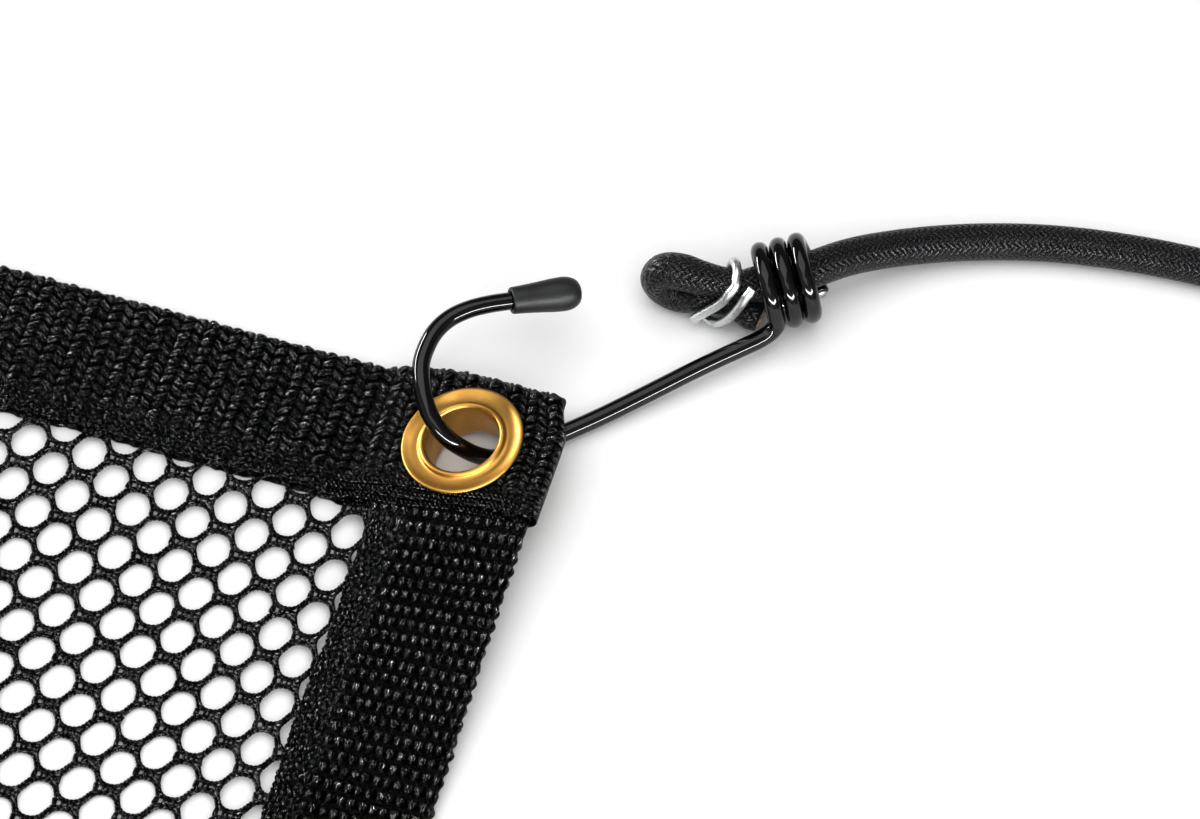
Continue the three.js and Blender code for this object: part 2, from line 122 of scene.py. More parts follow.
def catmull_rom(rows, density=24):
    """Centripetal Catmull-Rom curve through rows of numbers, the first three of them
    x, y, z: each span is the cubic whose knots are the square roots of the chords."""
    rows = np.asarray(rows, float)
    rows = np.vstack([2 * rows[0] - rows[1], rows, 2 * rows[-1] - rows[-2]])
    chords = np.maximum(np.linalg.norm(np.diff(rows[:, :3], axis=0), axis=1), 1e-6)
    knots = np.concatenate([[0], np.cumsum(np.sqrt(chords))])
    parts = []
    for i in range(1, len(rows) - 2):
        t0, t1, t2, t3 = knots[i - 1:i + 3]
        t = np.linspace(t1, t2, density, endpoint=i == len(rows) - 3)[:, None]
        p0, p1, p2, p3 = rows[i - 1:i + 3]
        a1 = (t1 - t) / (t1 - t0) * p0 + (t - t0) / (t1 - t0) * p1
        a2 = (t2 - t) / (t2 - t1) * p1 + (t - t1) / (t2 - t1) * p2
        a3 = (t3 - t) / (t3 - t2) * p2 + (t - t2) / (t3 - t2) * p3
        b1 = (t2 - t) / (t2 - t0) * a1 + (t - t0) / (t2 - t0) * a2
        b2 = (t3 - t) / (t3 - t1) * a2 + (t - t1) / (t3 - t1) * a3
        parts.append((t2 - t) / (t2 - t1) * b1 + (t - t1) / (t2 - t1) * b2)
    return np.vstack(parts)


def arc_length(path):
    """Distance along a path at each of its points."""
    return np.concatenate([[0], np.cumsum(np.linalg.norm(np.diff(path[:, :3], axis=0), axis=1))])


def evenly(path, step):
    """The same path with its points step apart."""
    along = arc_length(path)
    count = max(2, int(round(along[-1] / step)) + 1)
    marks = np.linspace(0, along[-1], count)
    return np.stack([np.interp(marks, along, path[:, i]) for i in range(path.shape[1])], 1)


def carried_frames(path):
    """Unit tangents and two cross directions carried along the path with no twist:
    each is the one before, less its part along the new tangent."""
    tangents = np.gradient(path[:, :3], axis=0)
    tangents /= np.linalg.norm(tangents, axis=1)[:, None]
    side = np.cross(tangents[0], [0.0, 0.0, 1.0])
    if np.linalg.norm(side) < 1e-3:
        side = np.array([1.0, 0.0, 0.0])
    sides = np.empty_like(tangents)
    for i, tangent in enumerate(tangents):
        side = side - tangent * side.dot(tangent)
        side = side / np.linalg.norm(side)
        sides[i] = side
    return tangents, sides, np.cross(sides, tangents)


# ------------------------------------------------------------------- mesh helpers

def grid_faces(rows, columns, wrap=False, flip=False):
    """Quads between neighbouring rows and columns of a grid of points."""
    last = columns if wrap else columns - 1
    i, j = np.meshgrid(np.arange(rows - 1), np.arange(last), indexing="ij")
    right = (j + 1) % columns
    quads = np.stack([i * columns + j, i * columns + right,
                      (i + 1) * columns + right, (i + 1) * columns + j], -1).reshape(-1, 4)
    return quads[:, ::-1] if flip else quads


def new_piece(name, points, faces, material, uv=None, shades=None, around=0.0):
    """A mesh object from points in millimetres and rows of quads (a triangle repeats
    its last corner), with a UV map and point attributes. around is the UV map's width
    where it closes on itself: a face over that seam gets its far corners moved on."""
    faces = np.asarray(faces)
    sizes = np.where(faces[:, 2] == faces[:, 3], 3, 4)
    corners = faces.ravel()[np.repeat(sizes == 4, 4) | (np.tile([1, 1, 1, 0], len(faces)) == 1)]
    mesh = bpy.data.meshes.new(name)
    mesh.vertices.add(len(points))
    mesh.vertices.foreach_set("co", (np.asarray(points, float) * MM).astype(np.float32).ravel())
    mesh.loops.add(len(corners))
    mesh.loops.foreach_set("vertex_index", corners.astype(np.int32))
    mesh.polygons.add(len(faces))
    starts = np.concatenate([[0], np.cumsum(sizes)[:-1]])
    mesh.polygons.foreach_set("loop_start", starts.astype(np.int32))
    mesh.update(calc_edges=True)
    mesh.validate()
    mesh.polygons.foreach_set("use_smooth", np.ones(len(mesh.polygons), bool))
    if uv is not None:
        layer = mesh.uv_layers.new(name="cloth")
        used = np.empty(len(mesh.loops), np.int32)
        mesh.loops.foreach_get("vertex_index", used)
        spread = uv[used].astype(float)
        if around:
            face_of = np.repeat(np.arange(len(mesh.polygons)), [len(p.vertices) for p in mesh.polygons])
            widest = np.full(len(mesh.polygons), -1e9)
            np.maximum.at(widest, face_of, spread[:, 1])
            spread[:, 1] += around * (widest[face_of] - spread[:, 1] > around / 2)
        layer.data.foreach_set("uv", (spread * MM).astype(np.float32).ravel())
    for key, values in (shades or {}).items():
        attribute = mesh.attributes.new(key, "FLOAT", "POINT")
        attribute.data.foreach_set("value", np.asarray(values, np.float32))
    mesh.materials.append(material)
    piece = bpy.data.objects.new(name, mesh)
    bpy.context.scene.collection.objects.link(piece)
    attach(piece, "root")
    return piece


def bundle(centres, first, second, radius, sides, closed=False):
    """Points and faces of many round strands at once. centres is strands x stations x
    3, first and second are the unit cross directions, of any shape that spreads to
    it, and radius is one number or strands x stations. Open strands end in a point
    each."""
    strands, stations = centres.shape[:2]
    angle = np.arange(sides) * 2 * np.pi / sides
    wide = np.broadcast_to(radius, (strands, stations))[..., None, None]
    first = np.broadcast_to(first, centres.shape)[:, :, None]
    second = np.broadcast_to(second, centres.shape)[:, :, None]
    outward = np.cos(angle)[:, None] * first + np.sin(angle)[:, None] * second
    rings = centres[:, :, None] + wide * outward
    n, i, j = np.meshgrid(np.arange(strands), np.arange(stations if closed else stations - 1),
                          np.arange(sides), indexing="ij")
    at = lambda i, j: ((n * stations + i % stations) * sides + j % sides).ravel()
    faces = np.stack([at(i, j), at(i, j + 1), at(i + 1, j + 1), at(i + 1, j)], 1)
    points = rings.reshape(-1, 3)
    if not closed:
        n, j = np.meshgrid(np.arange(strands), np.arange(sides), indexing="ij")
        start = (n * stations * sides + j).ravel()
        after = (n * stations * sides + (j + 1) % sides).ravel()
        pole = (len(points) + n).ravel()
        last = (stations - 1) * sides
        faces = np.vstack([faces, np.stack([after, start, pole, pole], 1),
                           np.stack([start + last, after + last, pole + strands, pole + strands], 1)])
        points = np.vstack([points, centres[:, 0], centres[:, -1]])
    return points, faces


def joined(parts):
    """Points and faces of several (points, faces) as one."""
    sizes = np.concatenate([[0], np.cumsum([len(p) for p, _ in parts])[:-1]])
    return np.vstack([p for p, _ in parts]), np.vstack([f + k for (_, f), k in zip(parts, sizes)])


def tube(path, radius, sides, dome=(0.0, 0.0)):
    """Points and faces of round stock: a circle of the path's own radius (its fourth
    column, else radius) carried along it, closed by a pole at each end. dome rounds an
    end over that share of the radius."""
    tangents, across, up = carried_frames(path)
    wide = path[:, 3] if path.shape[1] > 3 else np.full(len(path), radius)
    centres = path[:, :3]
    rings = [(centres, wide, across, up)]
    for end, share in ((0, dome[0]), (-1, dome[1])):
        if not share:
            continue
        turn = np.linspace(0, np.pi / 2, 5)[1:-1]
        way = tangents[end] * (1 if end else -1)
        reach = wide[end] * share
        cap = centres[end] + way * (reach * np.sin(turn))[:, None]
        size = wide[end] - reach + reach * np.cos(turn)
        order = slice(None) if end else slice(None, None, -1)
        ring = (cap[order], size[order], np.tile(across[end], (3, 1)), np.tile(up[end], (3, 1)))
        rings = rings + [ring] if end else [ring] + rings
    centres, wide, across, up = (np.concatenate([r[k] for r in rings]) for k in range(4))
    angle = np.arange(sides) * 2 * np.pi / sides
    points = (centres[:, None] + (wide[:, None] * np.cos(angle))[..., None] * across[:, None]
              + (wide[:, None] * np.sin(angle))[..., None] * up[:, None]).reshape(-1, 3)
    count = len(centres)
    faces = grid_faces(count, sides, wrap=True)
    poles = [centres[0] - tangents[0] * (wide[0] * 0.3 if dome[0] else 0),
             centres[-1] + tangents[-1] * (wide[-1] * 0.3 if dome[1] else 0)]
    ring = np.arange(sides)
    after = (ring + 1) % sides
    first = np.full(sides, len(points))
    final = first + 1
    start = (count - 1) * sides
    faces = np.vstack([faces, np.stack([after, ring, first, first], 1),
                       np.stack([start + ring, start + after, final, final], 1)])
    points = np.vstack([points, poles])
    along = arc_length(centres)
    uv = np.stack([np.repeat(along, sides), np.tile(angle, count) * radius], 1)
    uv = np.vstack([uv, uv[0], uv[-3]])
    return points, faces, uv


def turned(profile, segments):
    """Points and faces of a closed profile of (radius, height) rows turned about the
    vertical axis."""
    profile = np.asarray(profile, float)
    angle = np.arange(segments) * 2 * np.pi / segments
    points = np.stack([np.outer(np.cos(angle), profile[:, 0]),
                       np.outer(np.sin(angle), profile[:, 0]),
                       np.tile(profile[:, 1], (segments, 1))], -1).reshape(-1, 3)
    count = len(profile)
    i, j = np.meshgrid(np.arange(segments), np.arange(count), indexing="ij")
    right = (i + 1) % segments
    above = (j + 1) % count
    faces = np.stack([i * count + j, right * count + j, right * count + above,
                      i * count + above], -1).reshape(-1, 4)
    return points, faces


def aimed(points, direction, origin):
    """Points turned so that their vertical axis runs along direction, then moved."""
    turn = Vector((0, 0, 1)).rotation_difference(Vector(direction)).to_matrix()
    return points @ np.array(turn).T + np.asarray(origin)


def placed(rows, end):
    """Rows of x y z (and radius) in a cord end's own frame, moved to the net's frame."""
    x, y, turn = end
    rows = np.array(rows, float)
    c, s = math.cos(math.radians(turn)), math.sin(math.radians(turn))
    plan = rows[:, :2] @ np.array([[c, s], [-s, c]]) + (x, y)
    return np.hstack([plan, rows[:, 2:]])


# ------------------------------------------------------------------------ materials

def linear(colour):
    """An sRGB colour, as #rrggbb or three numbers, as linear light."""
    if isinstance(colour, str):
        colour = [int(colour[i:i + 2], 16) / 255 for i in (1, 3, 5)]
    return tuple(c / 12.92 if c <= 0.04045 else ((c + 0.055) / 1.055) ** 2.4 for c in colour) + (1.0,)


def add_node(tree, kind, inputs=None, **settings):
    """Adds a node with its settings. inputs maps a socket's name or number to a value,
    or to another node's output, which is linked to it."""
    made = tree.nodes.new(kind)
    for key, value in settings.items():
        setattr(made, key, value)
    for socket, value in (inputs or {}).items():
        if isinstance(value, bpy.types.NodeSocket):
            tree.links.new(value, made.inputs[socket])
        else:
            made.inputs[socket].default_value = value
    return made


def new_material(name, **surface):
    """A material with a Principled BSDF whose constants are set on its own sockets."""
    material = bpy.data.materials.new(name)
    material.use_nodes = True
    tree = material.node_tree
    shader = tree.nodes["Principled BSDF"]
    for socket, value in surface.items():
        shader.inputs[socket.replace("_", " ")].default_value = value
    return material, tree, shader


def sums(tree, operation, first, second=None, third=None):
    """The output of a Math node."""
    inputs = {i: v for i, v in enumerate((first, second, third)) if v is not None}
    return add_node(tree, "ShaderNodeMath", inputs, operation=operation).outputs[0]


def blend(tree, share, low, high):
    """The colour between low and high."""
    return add_node(tree, "ShaderNodeMix", {"Factor": share, "A": low, "B": high},
                    data_type="RGBA").outputs["Result"]


def noise(tree, place, scale, detail, **more):
    """The strength of a noise texture at a place. more holds its other sockets."""
    inputs = {"Vector": place, "Scale": scale, "Detail": detail, **more}
    return add_node(tree, "ShaderNodeTexNoise", inputs).outputs[0]


def object_place(tree):
    """Object coordinates, in metres: every piece sits at the origin."""
    return add_node(tree, "ShaderNodeTexCoord").outputs["Object"]


def between(tree, value, low, high, least):
    """least where the value is low or less, 1 where it is high or more."""
    return add_node(tree, "ShaderNodeMapRange", {
        "Value": value, "From Min": low, "From Max": high, "To Min": least, "To Max": 1.0}).outputs[0]


def set_bump(tree, shader, height, strength, distance):
    """Lets a height, as a share of a distance in metres, tilt the surface."""
    bump = add_node(tree, "ShaderNodeBump", {
        "Strength": strength, "Distance": distance, "Height": height})
    tree.links.new(bump.outputs[0], shader.inputs["Normal"])


def set_shine(tree, shader, share):
    """Lets the reflections through by that share: none at 0, all at 1."""
    tint = blend(tree, share, linear("#000000"), linear("#ffffff"))
    tree.links.new(tint, shader.inputs["Specular Tint"])


def set_roughness(tree, shader, value, scale, offset):
    """Roughness as value x scale + offset."""
    tree.links.new(sums(tree, "MULTIPLY_ADD", value, scale, offset), shader.inputs["Roughness"])


def knitted_webbing():
    """Black polypropylene webbing: petals of bright filament yarn in ribs that run
    across it, in UV metres. Between the petals the colour is painted near black and the
    reflections are taken out: painted shade in the gaps. Lighter spots on the petals are
    painted glints. In the long bands the petals slant one way and the other; in the short
    ones they are pointed teeth."""
    settings = bpy.context.scene.barrier_net
    material, tree, shader = new_material("black_polypropylene_webbing", Roughness=0.4, IOR=2.2)
    shader.inputs["Specular IOR Level"].default_value = 0.95
    uv = add_node(tree, "ShaderNodeUVMap", uv_map="cloth").outputs["UV"]
    flat, rib, relief = (add_node(tree, "ShaderNodeAttribute", attribute_name=name).outputs["Fac"]
                         for name in ("flat", "rib", "relief"))
    axes = add_node(tree, "ShaderNodeSeparateXYZ", {0: uv})
    short = sums(tree, "GREATER_THAN", rib, (settings.rib_pitch + settings.rib_pitch_short) / 2)
    along = sums(tree, "DIVIDE", axes.outputs[0], rib)
    column = sums(tree, "FLOOR", along)
    half = sums(tree, "SUBTRACT", sums(tree, "FRACT", along), 0.5)
    pair = sums(tree, "GREATER_THAN", sums(tree, "FRACT", sums(tree, "MULTIPLY", along, 0.5)), 0.5)
    way = sums(tree, "MULTIPLY_ADD", pair, -2.0, 1.0)
    slope = sums(tree, "MULTIPLY_ADD", short, -SLANT * settings.rib_pitch, SLANT * settings.rib_pitch)
    slant = sums(tree, "MULTIPLY", sums(tree, "MULTIPLY", way, half), slope)
    stitch = sums(tree, "DIVIDE", sums(tree, "ADD", axes.outputs[1], slant), settings.stitch_pitch)
    stitch = sums(tree, "MULTIPLY_ADD", sums(tree, "MULTIPLY", column, 0.22), short, stitch)
    facing = sums(tree, "MAXIMUM", way, sums(tree, "MULTIPLY_ADD", short, 2.0, -1.0))
    ahead = sums(tree, "MULTIPLY", half, facing)
    forward = add_node(tree, "ShaderNodeMapRange", {
        "Value": ahead, "From Min": sums(tree, "MULTIPLY_ADD", short, 0.18, -0.44), "From Max": 0.48})
    forward = forward.outputs[0]
    width = sums(tree, "MULTIPLY_ADD", sums(tree, "MINIMUM", forward, 0.6), sums(
        tree, "MULTIPLY", short, 0.43), sums(tree, "MULTIPLY_ADD", short, -0.26, 0.37))
    beside = sums(tree, "DIVIDE", sums(tree, "SUBTRACT", sums(tree, "FRACT", stitch), 0.5), width)
    strand = sums(tree, "SQRT", sums(tree, "MAXIMUM", sums(
        tree, "SUBTRACT", 1.0, sums(tree, "MULTIPLY", beside, beside)), 0.0))
    rise = sums(tree, "MAXIMUM", sums(tree, "SINE", sums(tree, "MULTIPLY", sums(
        tree, "POWER", forward, sums(tree, "MULTIPLY_ADD", short, 0.6, 0.7)), math.pi)), 0.0)
    cell = add_node(tree, "ShaderNodeCombineXYZ", {0: column, 1: sums(tree, "FLOOR", stitch)})
    tall = add_node(tree, "ShaderNodeTexWhiteNoise", {"Vector": cell.outputs[0]}).outputs["Value"]
    knit = sums(tree, "MULTIPLY", sums(tree, "MULTIPLY", strand, sums(tree, "POWER", rise, 0.65)),
                sums(tree, "MULTIPLY_ADD", tall, 0.45, 0.55))
    fibre_place = add_node(tree, "ShaderNodeCombineXYZ", {
        0: sums(tree, "MULTIPLY", stitch, 7.0), 1: sums(tree, "MULTIPLY", along, 2.2), 2: way})
    fibres = noise(tree, fibre_place.outputs[0], 1.0, 2.0, Roughness=0.7)
    patches = noise(tree, uv, 420.0, 3.0)
    bump_height = sums(tree, "MULTIPLY_ADD", fibres, 1.1, sums(tree, "MULTIPLY", knit, flat))
    # high is the petals' height; below it masks the painted shade in the gaps between petals.
    high = sums(tree, "POWER", sums(tree, "MULTIPLY_ADD", knit, flat, relief), 1.5)
    glint = between(tree, fibres, 0.48, 0.63, 0.02)
    worn = blend(tree, patches, linear("#040404"), linear("#161617"))
    # Painted glints: the random patches made lighter where the glint mask is.
    worn_with_painted_glints = blend(tree, glint, worn, linear("#29292b"))
    # Painted shade: near black where the petals are low, in the gaps between them.
    colour = blend(tree, high, linear("#010101"), worn_with_painted_glints)
    tree.links.new(colour, shader.inputs["Base Color"])
    # Reflections only on the high petals and the glints: painted shade in the gaps.
    set_shine(tree, shader, sums(tree, "MULTIPLY", sums(tree, "POWER", high, 0.6), glint))
    set_roughness(tree, shader, patches, 0.2, 0.1)
    set_bump(tree, shader, bump_height, 1.0, 0.0008)
    return material


def knitted_yarn():
    """Black polyester yarn of the open mesh, slightly glossy, with fine filaments."""
    material, tree, shader = new_material("black_polyester_yarn", Roughness=0.35)
    shader.inputs["Specular IOR Level"].default_value = 0.75
    place = object_place(tree)
    filaments = noise(tree, place, 1500.0, 2.0, Roughness=0.7)
    patches = noise(tree, place, 60.0, 2.0)
    base = blend(tree, patches, linear("#020202"), linear("#080808"))
    colour = blend(tree, filaments, base, linear("#0b0b0c"))
    tree.links.new(colour, shader.inputs["Base Color"])
    set_shine(tree, shader, between(tree, filaments, 0.5, 0.62, 0.0))
    set_roughness(tree, shader, filaments, 0.18, 0.06)
    set_bump(tree, shader, filaments, 0.5, 0.0002)
    return material


def braided_sheath():
    """Black polyester braid of the bungee cord: each strand passes over two and under
    two, at 45 degrees both ways, in UV metres along and round the cord. Its grooves are
    painted darker and lose their reflections, painted shade, and lighter spots are painted
    glints."""
    settings = bpy.context.scene.barrier_net
    material, tree, shader = new_material("black_polyester_braid", Roughness=0.4)
    shader.inputs["Specular IOR Level"].default_value = 0.7
    uv = add_node(tree, "ShaderNodeUVMap", uv_map="cloth").outputs["UV"]
    axes = add_node(tree, "ShaderNodeSeparateXYZ", {0: uv})
    lane = math.pi * settings.cord_diameter / settings.braid_strands
    patches = noise(tree, uv, 260.0, 2.0)
    stray = sums(tree, "MULTIPLY", sums(tree, "SUBTRACT", patches, 0.5), 1.1)
    ways = []
    for operation in ("ADD", "SUBTRACT"):
        place = sums(tree, "DIVIDE", sums(tree, operation, axes.outputs[1], axes.outputs[0]), lane)
        place = sums(tree, "ADD", place, stray)
        ridge = sums(tree, "ABSOLUTE", sums(tree, "COSINE", sums(tree, "MULTIPLY", place, math.pi)))
        lane_number = sums(tree, "FLOOR", sums(tree, "ADD", place, 0.5))
        ways.append((sums(tree, "POWER", ridge, 0.6), lane_number, place))
    turn = sums(tree, "FLOORED_MODULO", sums(tree, "ADD", ways[0][1], ways[1][1]), 4.0)
    over = sums(tree, "LESS_THAN", turn, 1.5)
    height = add_node(tree, "ShaderNodeMix", {"Factor": over, "A": ways[1][0], "B": ways[0][0]},
                      data_type="FLOAT").outputs["Result"]
    place = add_node(tree, "ShaderNodeCombineXYZ", {0: sums(tree, "MULTIPLY", ways[0][2], 3.0),
                                                    1: sums(tree, "MULTIPLY", ways[1][2], 3.0), 2: over})
    filaments = noise(tree, place.outputs[0], 1.0, 2.0, Roughness=0.6)
    relief = sums(tree, "MULTIPLY_ADD", filaments, 0.5, height)
    glint = between(tree, filaments, 0.45, 0.6, 0.03)
    worn = blend(tree, patches, linear("#040405"), linear("#131315"))
    # Painted glints: the random patches made lighter where the glint mask is.
    worn_with_painted_glints = blend(tree, glint, worn, linear("#2e2e31"))
    # Painted shade: darker where the strands are low, in the grooves and under the crossing strand.
    colour = blend(tree, sums(tree, "POWER", height, 0.8), linear("#020202"), worn_with_painted_glints)
    tree.links.new(colour, shader.inputs["Base Color"])
    # Reflections only on the strands' tops and the glints: painted shade in the grooves.
    set_shine(tree, shader, sums(tree, "MULTIPLY", sums(tree, "POWER", height, 1.5), glint))
    set_roughness(tree, shader, filaments, 0.2, 0.2)
    set_bump(tree, shader, relief, 0.7, 0.0003)
    return material


def coated_wire():
    """Glossy black plastic coat on the hook wire, with faint handling marks."""
    material, tree, shader = new_material("glossy_black_coated_wire", Roughness=0.1)
    shader.inputs["Base Color"].default_value = linear("#040404")
    shader.inputs["Specular IOR Level"].default_value = 0.45
    place = object_place(tree)
    set_roughness(tree, shader, noise(tree, place, 700.0, 4.0, Roughness=0.6), 0.14, 0.02)
    set_bump(tree, shader, noise(tree, place, 160.0, 1.0), 0.12, 0.0004)
    return material


def black_rubber():
    """Matt moulded rubber of the hook caps, dusty grey where it has been handled."""
    material, tree, shader = new_material("matt_black_rubber", Roughness=0.6)
    shader.inputs["Specular IOR Level"].default_value = 0.35
    place = object_place(tree)
    grain = noise(tree, place, 1500.0, 4.0, Roughness=0.7)
    dusty = blend(tree, noise(tree, place, 220.0, 3.0), linear("#171718"), linear("#333435"))
    tree.links.new(dusty, shader.inputs["Base Color"])
    set_roughness(tree, shader, grain, 0.2, 0.32)
    set_bump(tree, shader, grain, 0.35, 0.0002)
    return material


def polished_brass():
    """Brass-plated eyelet: golden, with faint scratches and duller patches."""
    settings = bpy.context.scene.barrier_net
    material, tree, shader = new_material("polished_brass_plate", Metallic=1.0, Roughness=0.24)
    place = object_place(tree)
    tarnish = noise(tree, place, 150.0, 4.0)
    colour = blend(tree, tarnish, linear(settings.brass_colour), linear("#997234"))
    tree.links.new(colour, shader.inputs["Base Color"])
    set_roughness(tree, shader, tarnish, 0.22, 0.26)
    set_bump(tree, shader, noise(tree, place, 900.0, 3.0, Distortion=1.5), 0.12, 0.0001)
    return material


def zinc_wire():
    """Bright zinc-plated steel wire of the clips."""
    material, tree, shader = new_material("bright_zinc_wire", Metallic=1.0, Roughness=0.3)
    marks = noise(tree, object_place(tree), 800.0, 4.0)
    colour = blend(tree, marks, linear("#b3b5b4"), linear("#e2e4e3"))
    tree.links.new(colour, shader.inputs["Base Color"])
    set_roughness(tree, shader, marks, 0.3, 0.15)
    set_bump(tree, shader, marks, 0.2, 0.0002)
    return material


def cord_core():
    """Beige rubber strands in the cord's cut end."""
    material, tree, shader = new_material("beige_rubber_core", Roughness=0.7)
    strands = add_node(tree, "ShaderNodeTexVoronoi", {"Vector": object_place(tree), "Scale": 900.0})
    colour = blend(tree, strands.outputs[0], linear("#c9b49a"), linear("#6d5d49"))
    tree.links.new(colour, shader.inputs["Base Color"])
    return material


MAKERS = {
    "webbing": knitted_webbing, "yarn": knitted_yarn, "braid": braided_sheath,
    "wire": coated_wire, "rubber": black_rubber, "brass": polished_brass,
    "zinc": zinc_wire, "core": cord_core,
}
MADE = {}


def material(kind):
    """The finished material of that kind, made once."""
    if kind not in MADE:
        MADE[kind] = MAKERS[kind]()
    return MADE[kind]


# --------------------------------------------------------------------- the settings

class BarrierNetSettings(PropertyGroup):
    """Sizes and colours that a user would change."""
    hole_pitch_x: FloatProperty(
        name="Hole pitch, length", description="From one hole to the next along the net",
        default=13.047 * MM, unit="LENGTH", precision=5)
    hole_pitch_y: FloatProperty(
        name="Hole pitch, width", description="From one hole to the next across the net",
        default=10.866 * MM, unit="LENGTH", precision=5)
    course_turn: FloatProperty(
        name="Course turn", description="How far the knitting's courses turn from the net's length",
        default=math.radians(2.95), subtype="ANGLE")
    wale_turn: FloatProperty(
        name="Wale turn", description="How far its wales lean from the net's width",
        default=math.radians(2.26), subtype="ANGLE")
    rib_pitch: FloatProperty(
        name="Rib pitch, long bands", description="Width of one knitted rib",
        default=2.646 * MM, unit="LENGTH", precision=5)
    rib_pitch_short: FloatProperty(
        name="Rib pitch, short bands", description="Width of one knitted rib",
        default=3.2 * MM, unit="LENGTH", precision=5)
    stitch_pitch: FloatProperty(
        name="Petal pitch", description="From one petal to the next in a rib",
        default=2.28 * MM, unit="LENGTH", precision=5)
    cord_diameter: FloatProperty(
        name="Cord diameter", description="Bungee cord, over its braid",
        default=8 * MM, unit="LENGTH", precision=4)
    wire_diameter: FloatProperty(
        name="Hook wire diameter", description="Over the plastic coat",
        default=3.8 * MM, unit="LENGTH", precision=4)
    braid_strands: IntProperty(
        name="Braid strands", description="Strands each way round the cord", default=18)
    brass_colour: FloatVectorProperty(
        name="Brass", description="Colour of the eyelets", subtype="COLOR_GAMMA",
        default=(0.87, 0.69, 0.39), min=0, max=1)
    floor_colour: FloatVectorProperty(
        name="Floor", description="Colour of the studio floor", subtype="COLOR_GAMMA",
        default=(0.93, 0.93, 0.93), min=0, max=1)


# ----------------------------------------------------------------- cords and hooks

NEAR_END = (HALF_X + 33.7, HALF_Y + 40.5, 34)
FAR_END = (HALF_X + 220.2, HALF_Y - 21, 90)

HOOK_BEND = [[-4.1, -8.3, 7.9], [-5.7, -8.8, 6.3], [-8.3, -9.4, 5.6], [-11.2, -9.9, 5.4]]

HOOKED_SHANK = [
    [-21.9, -11.8, 4.9],
    [-36.2, -14.6, 3.8],
    [-45.8, -16.4, 3.1],
    [-54.1, -17.6, 2.5],
    [-61.0, -18.5, 2.1],
    [-66.4, -18.9, 2.0],
    [-70.0, -19.3, 2.6],
    [-73.0, -19.4, 5.0],
    [-76.0, -19.0, 8.2],
    [-79.5, -17.0, 11.9],
    [-81.8, -12.8, 14.9],
    [-82.0, -7.4, 17.1],
    [-80.8, -2.0, 18.5],
    [-78.4, 1.8, 19.1],
    [-75.6, 4.6, 19.5],
    [-71.8, 6.7, 19.6],
    [-67.2, 7.8, 19.3],
    [-62.7, 8.1, 18.7],
    [-58.8, 8.0, 18.1],
    [-54.6, 7.8, 17.5],
    [-50.2, 7.6, 16.8],
]

FOLD_ROUTE = [
    [-6.1, -3.6, 4.6, 3.1],
    [-7.5, -2.4, 4.9, 3.6],
    [-9.2, -0.6, 5.2, 3.3],
    [-11.0, 1.2, 5.7, 3.0],
    [-13.2, 2.5, 6.0, 3.35],
    [-16.9, 4.6, 5.9, 3.5],
    [-20.4, 7.1, 4.3, 4.0],
    [-23.4, 9.1, 5.3, 4.0],
    [-24.7, 9.8, 8.5, 4.0],
    [-23.4, 9.2, 11.7, 4.0],
    [-20.4, 7.2, 13.0, 4.0],
    [-16.9, 4.7, 13.0, 3.7],
    [-13.2, 2.6, 12.8, 3.35],
    [-9.7, 0.8, 12.6, 3.3],
    [-6.2, 0.4, 11.9, 3.9],
    [-3.7, 0.4, 11.6, 4.0],
    [0.3, 0.3, 11.4, 4.0],
]

# From the near hook's coil: through its mouth, in a low arch to the storage ring.
ARCH_ROUTE = [
    [36.6, 42.9, 11.4], [39.7, 45.7, 11.2], [45.0, 50.8, 10.0], [52.0, 56.4, 7.8],
    [62.0, 62.6, 5.4], [72.6, 67.1, 4.4], [83.5, 70.3, 4.1], [94.8, 72.4, 4.1],
    [106.0, 73.7, 4.1], [116.3, 74.3, 4.1], [130.0, 74.6, 4.1], [145.0, 74.6, 4.1],
    [158.0, 74.5, 4.1], [172.0, 74.4, 4.1],
]
RING_CENTRE = (187.0, 30.4)
RING_OUTER = 44.0
RING_SHRINK = 8.6        # the second turn lies inside the first
RETURN_ROUTE = [
    [220.3, 17.0, 12.7], [220.3, 9.0, 12.7], [220.3, 3.0, 12.7], [219.9, -3.0, 12.3],
    [219.2, -8.5, 11.6], [219.1, -13.5, 11.3], [219.6, -18.0, 11.3], [219.9, -21.0, 11.4],
]


def coil_rows(step=15):
    """The hook's wire coil: a helix of radius 8 about the cord, pitch 4.1, leaning
    1.5 forwards at the bottom, from its free end back to the shank."""
    angle = np.radians(np.arange(1078, 89, -step))
    return np.stack([COIL_PITCH * (np.degrees(angle) - 450) / 360 + COIL_LEAN * np.cos(angle),
                     -COIL_RADIUS * np.sin(angle), 10 - COIL_RADIUS * np.cos(angle)], 1)


def loose_shank():
    """The loose hook lies flat: a straight shank, a round bend of radius 16 through
    190 degrees and a straight tip that rises to the middle of its cap."""
    low, cap_height, radius, turn = 2.1, 4.0, 16.0, math.radians(190)
    first = np.array(HOOK_BEND[-1])
    last = np.array([-62.0, -20.3, low])
    shank = first + (last - first) * np.array([0.25, 0.5, 0.75, 1])[:, None]
    heading = math.atan2(last[1] - first[1], last[0] - first[0])
    centre = last[:2] + radius * np.array([math.sin(heading), -math.cos(heading)])
    angle = heading + np.pi / 2 - turn * np.arange(1, 11) / 10
    bend = np.stack([centre[0] + radius * np.cos(angle), centre[1] + radius * np.sin(angle),
                     np.full(10, low)], 1)
    share = np.array([0.34, 0.67, 1])
    way = np.array([math.sin(angle[-1]), -math.cos(angle[-1])])
    tip = np.hstack([bend[-1, :2] + 20 * share[:, None] * way,
                     (low + (cap_height - low) * smooth(share * 1.6))[:, None]])
    return np.vstack([shank, bend, tip])


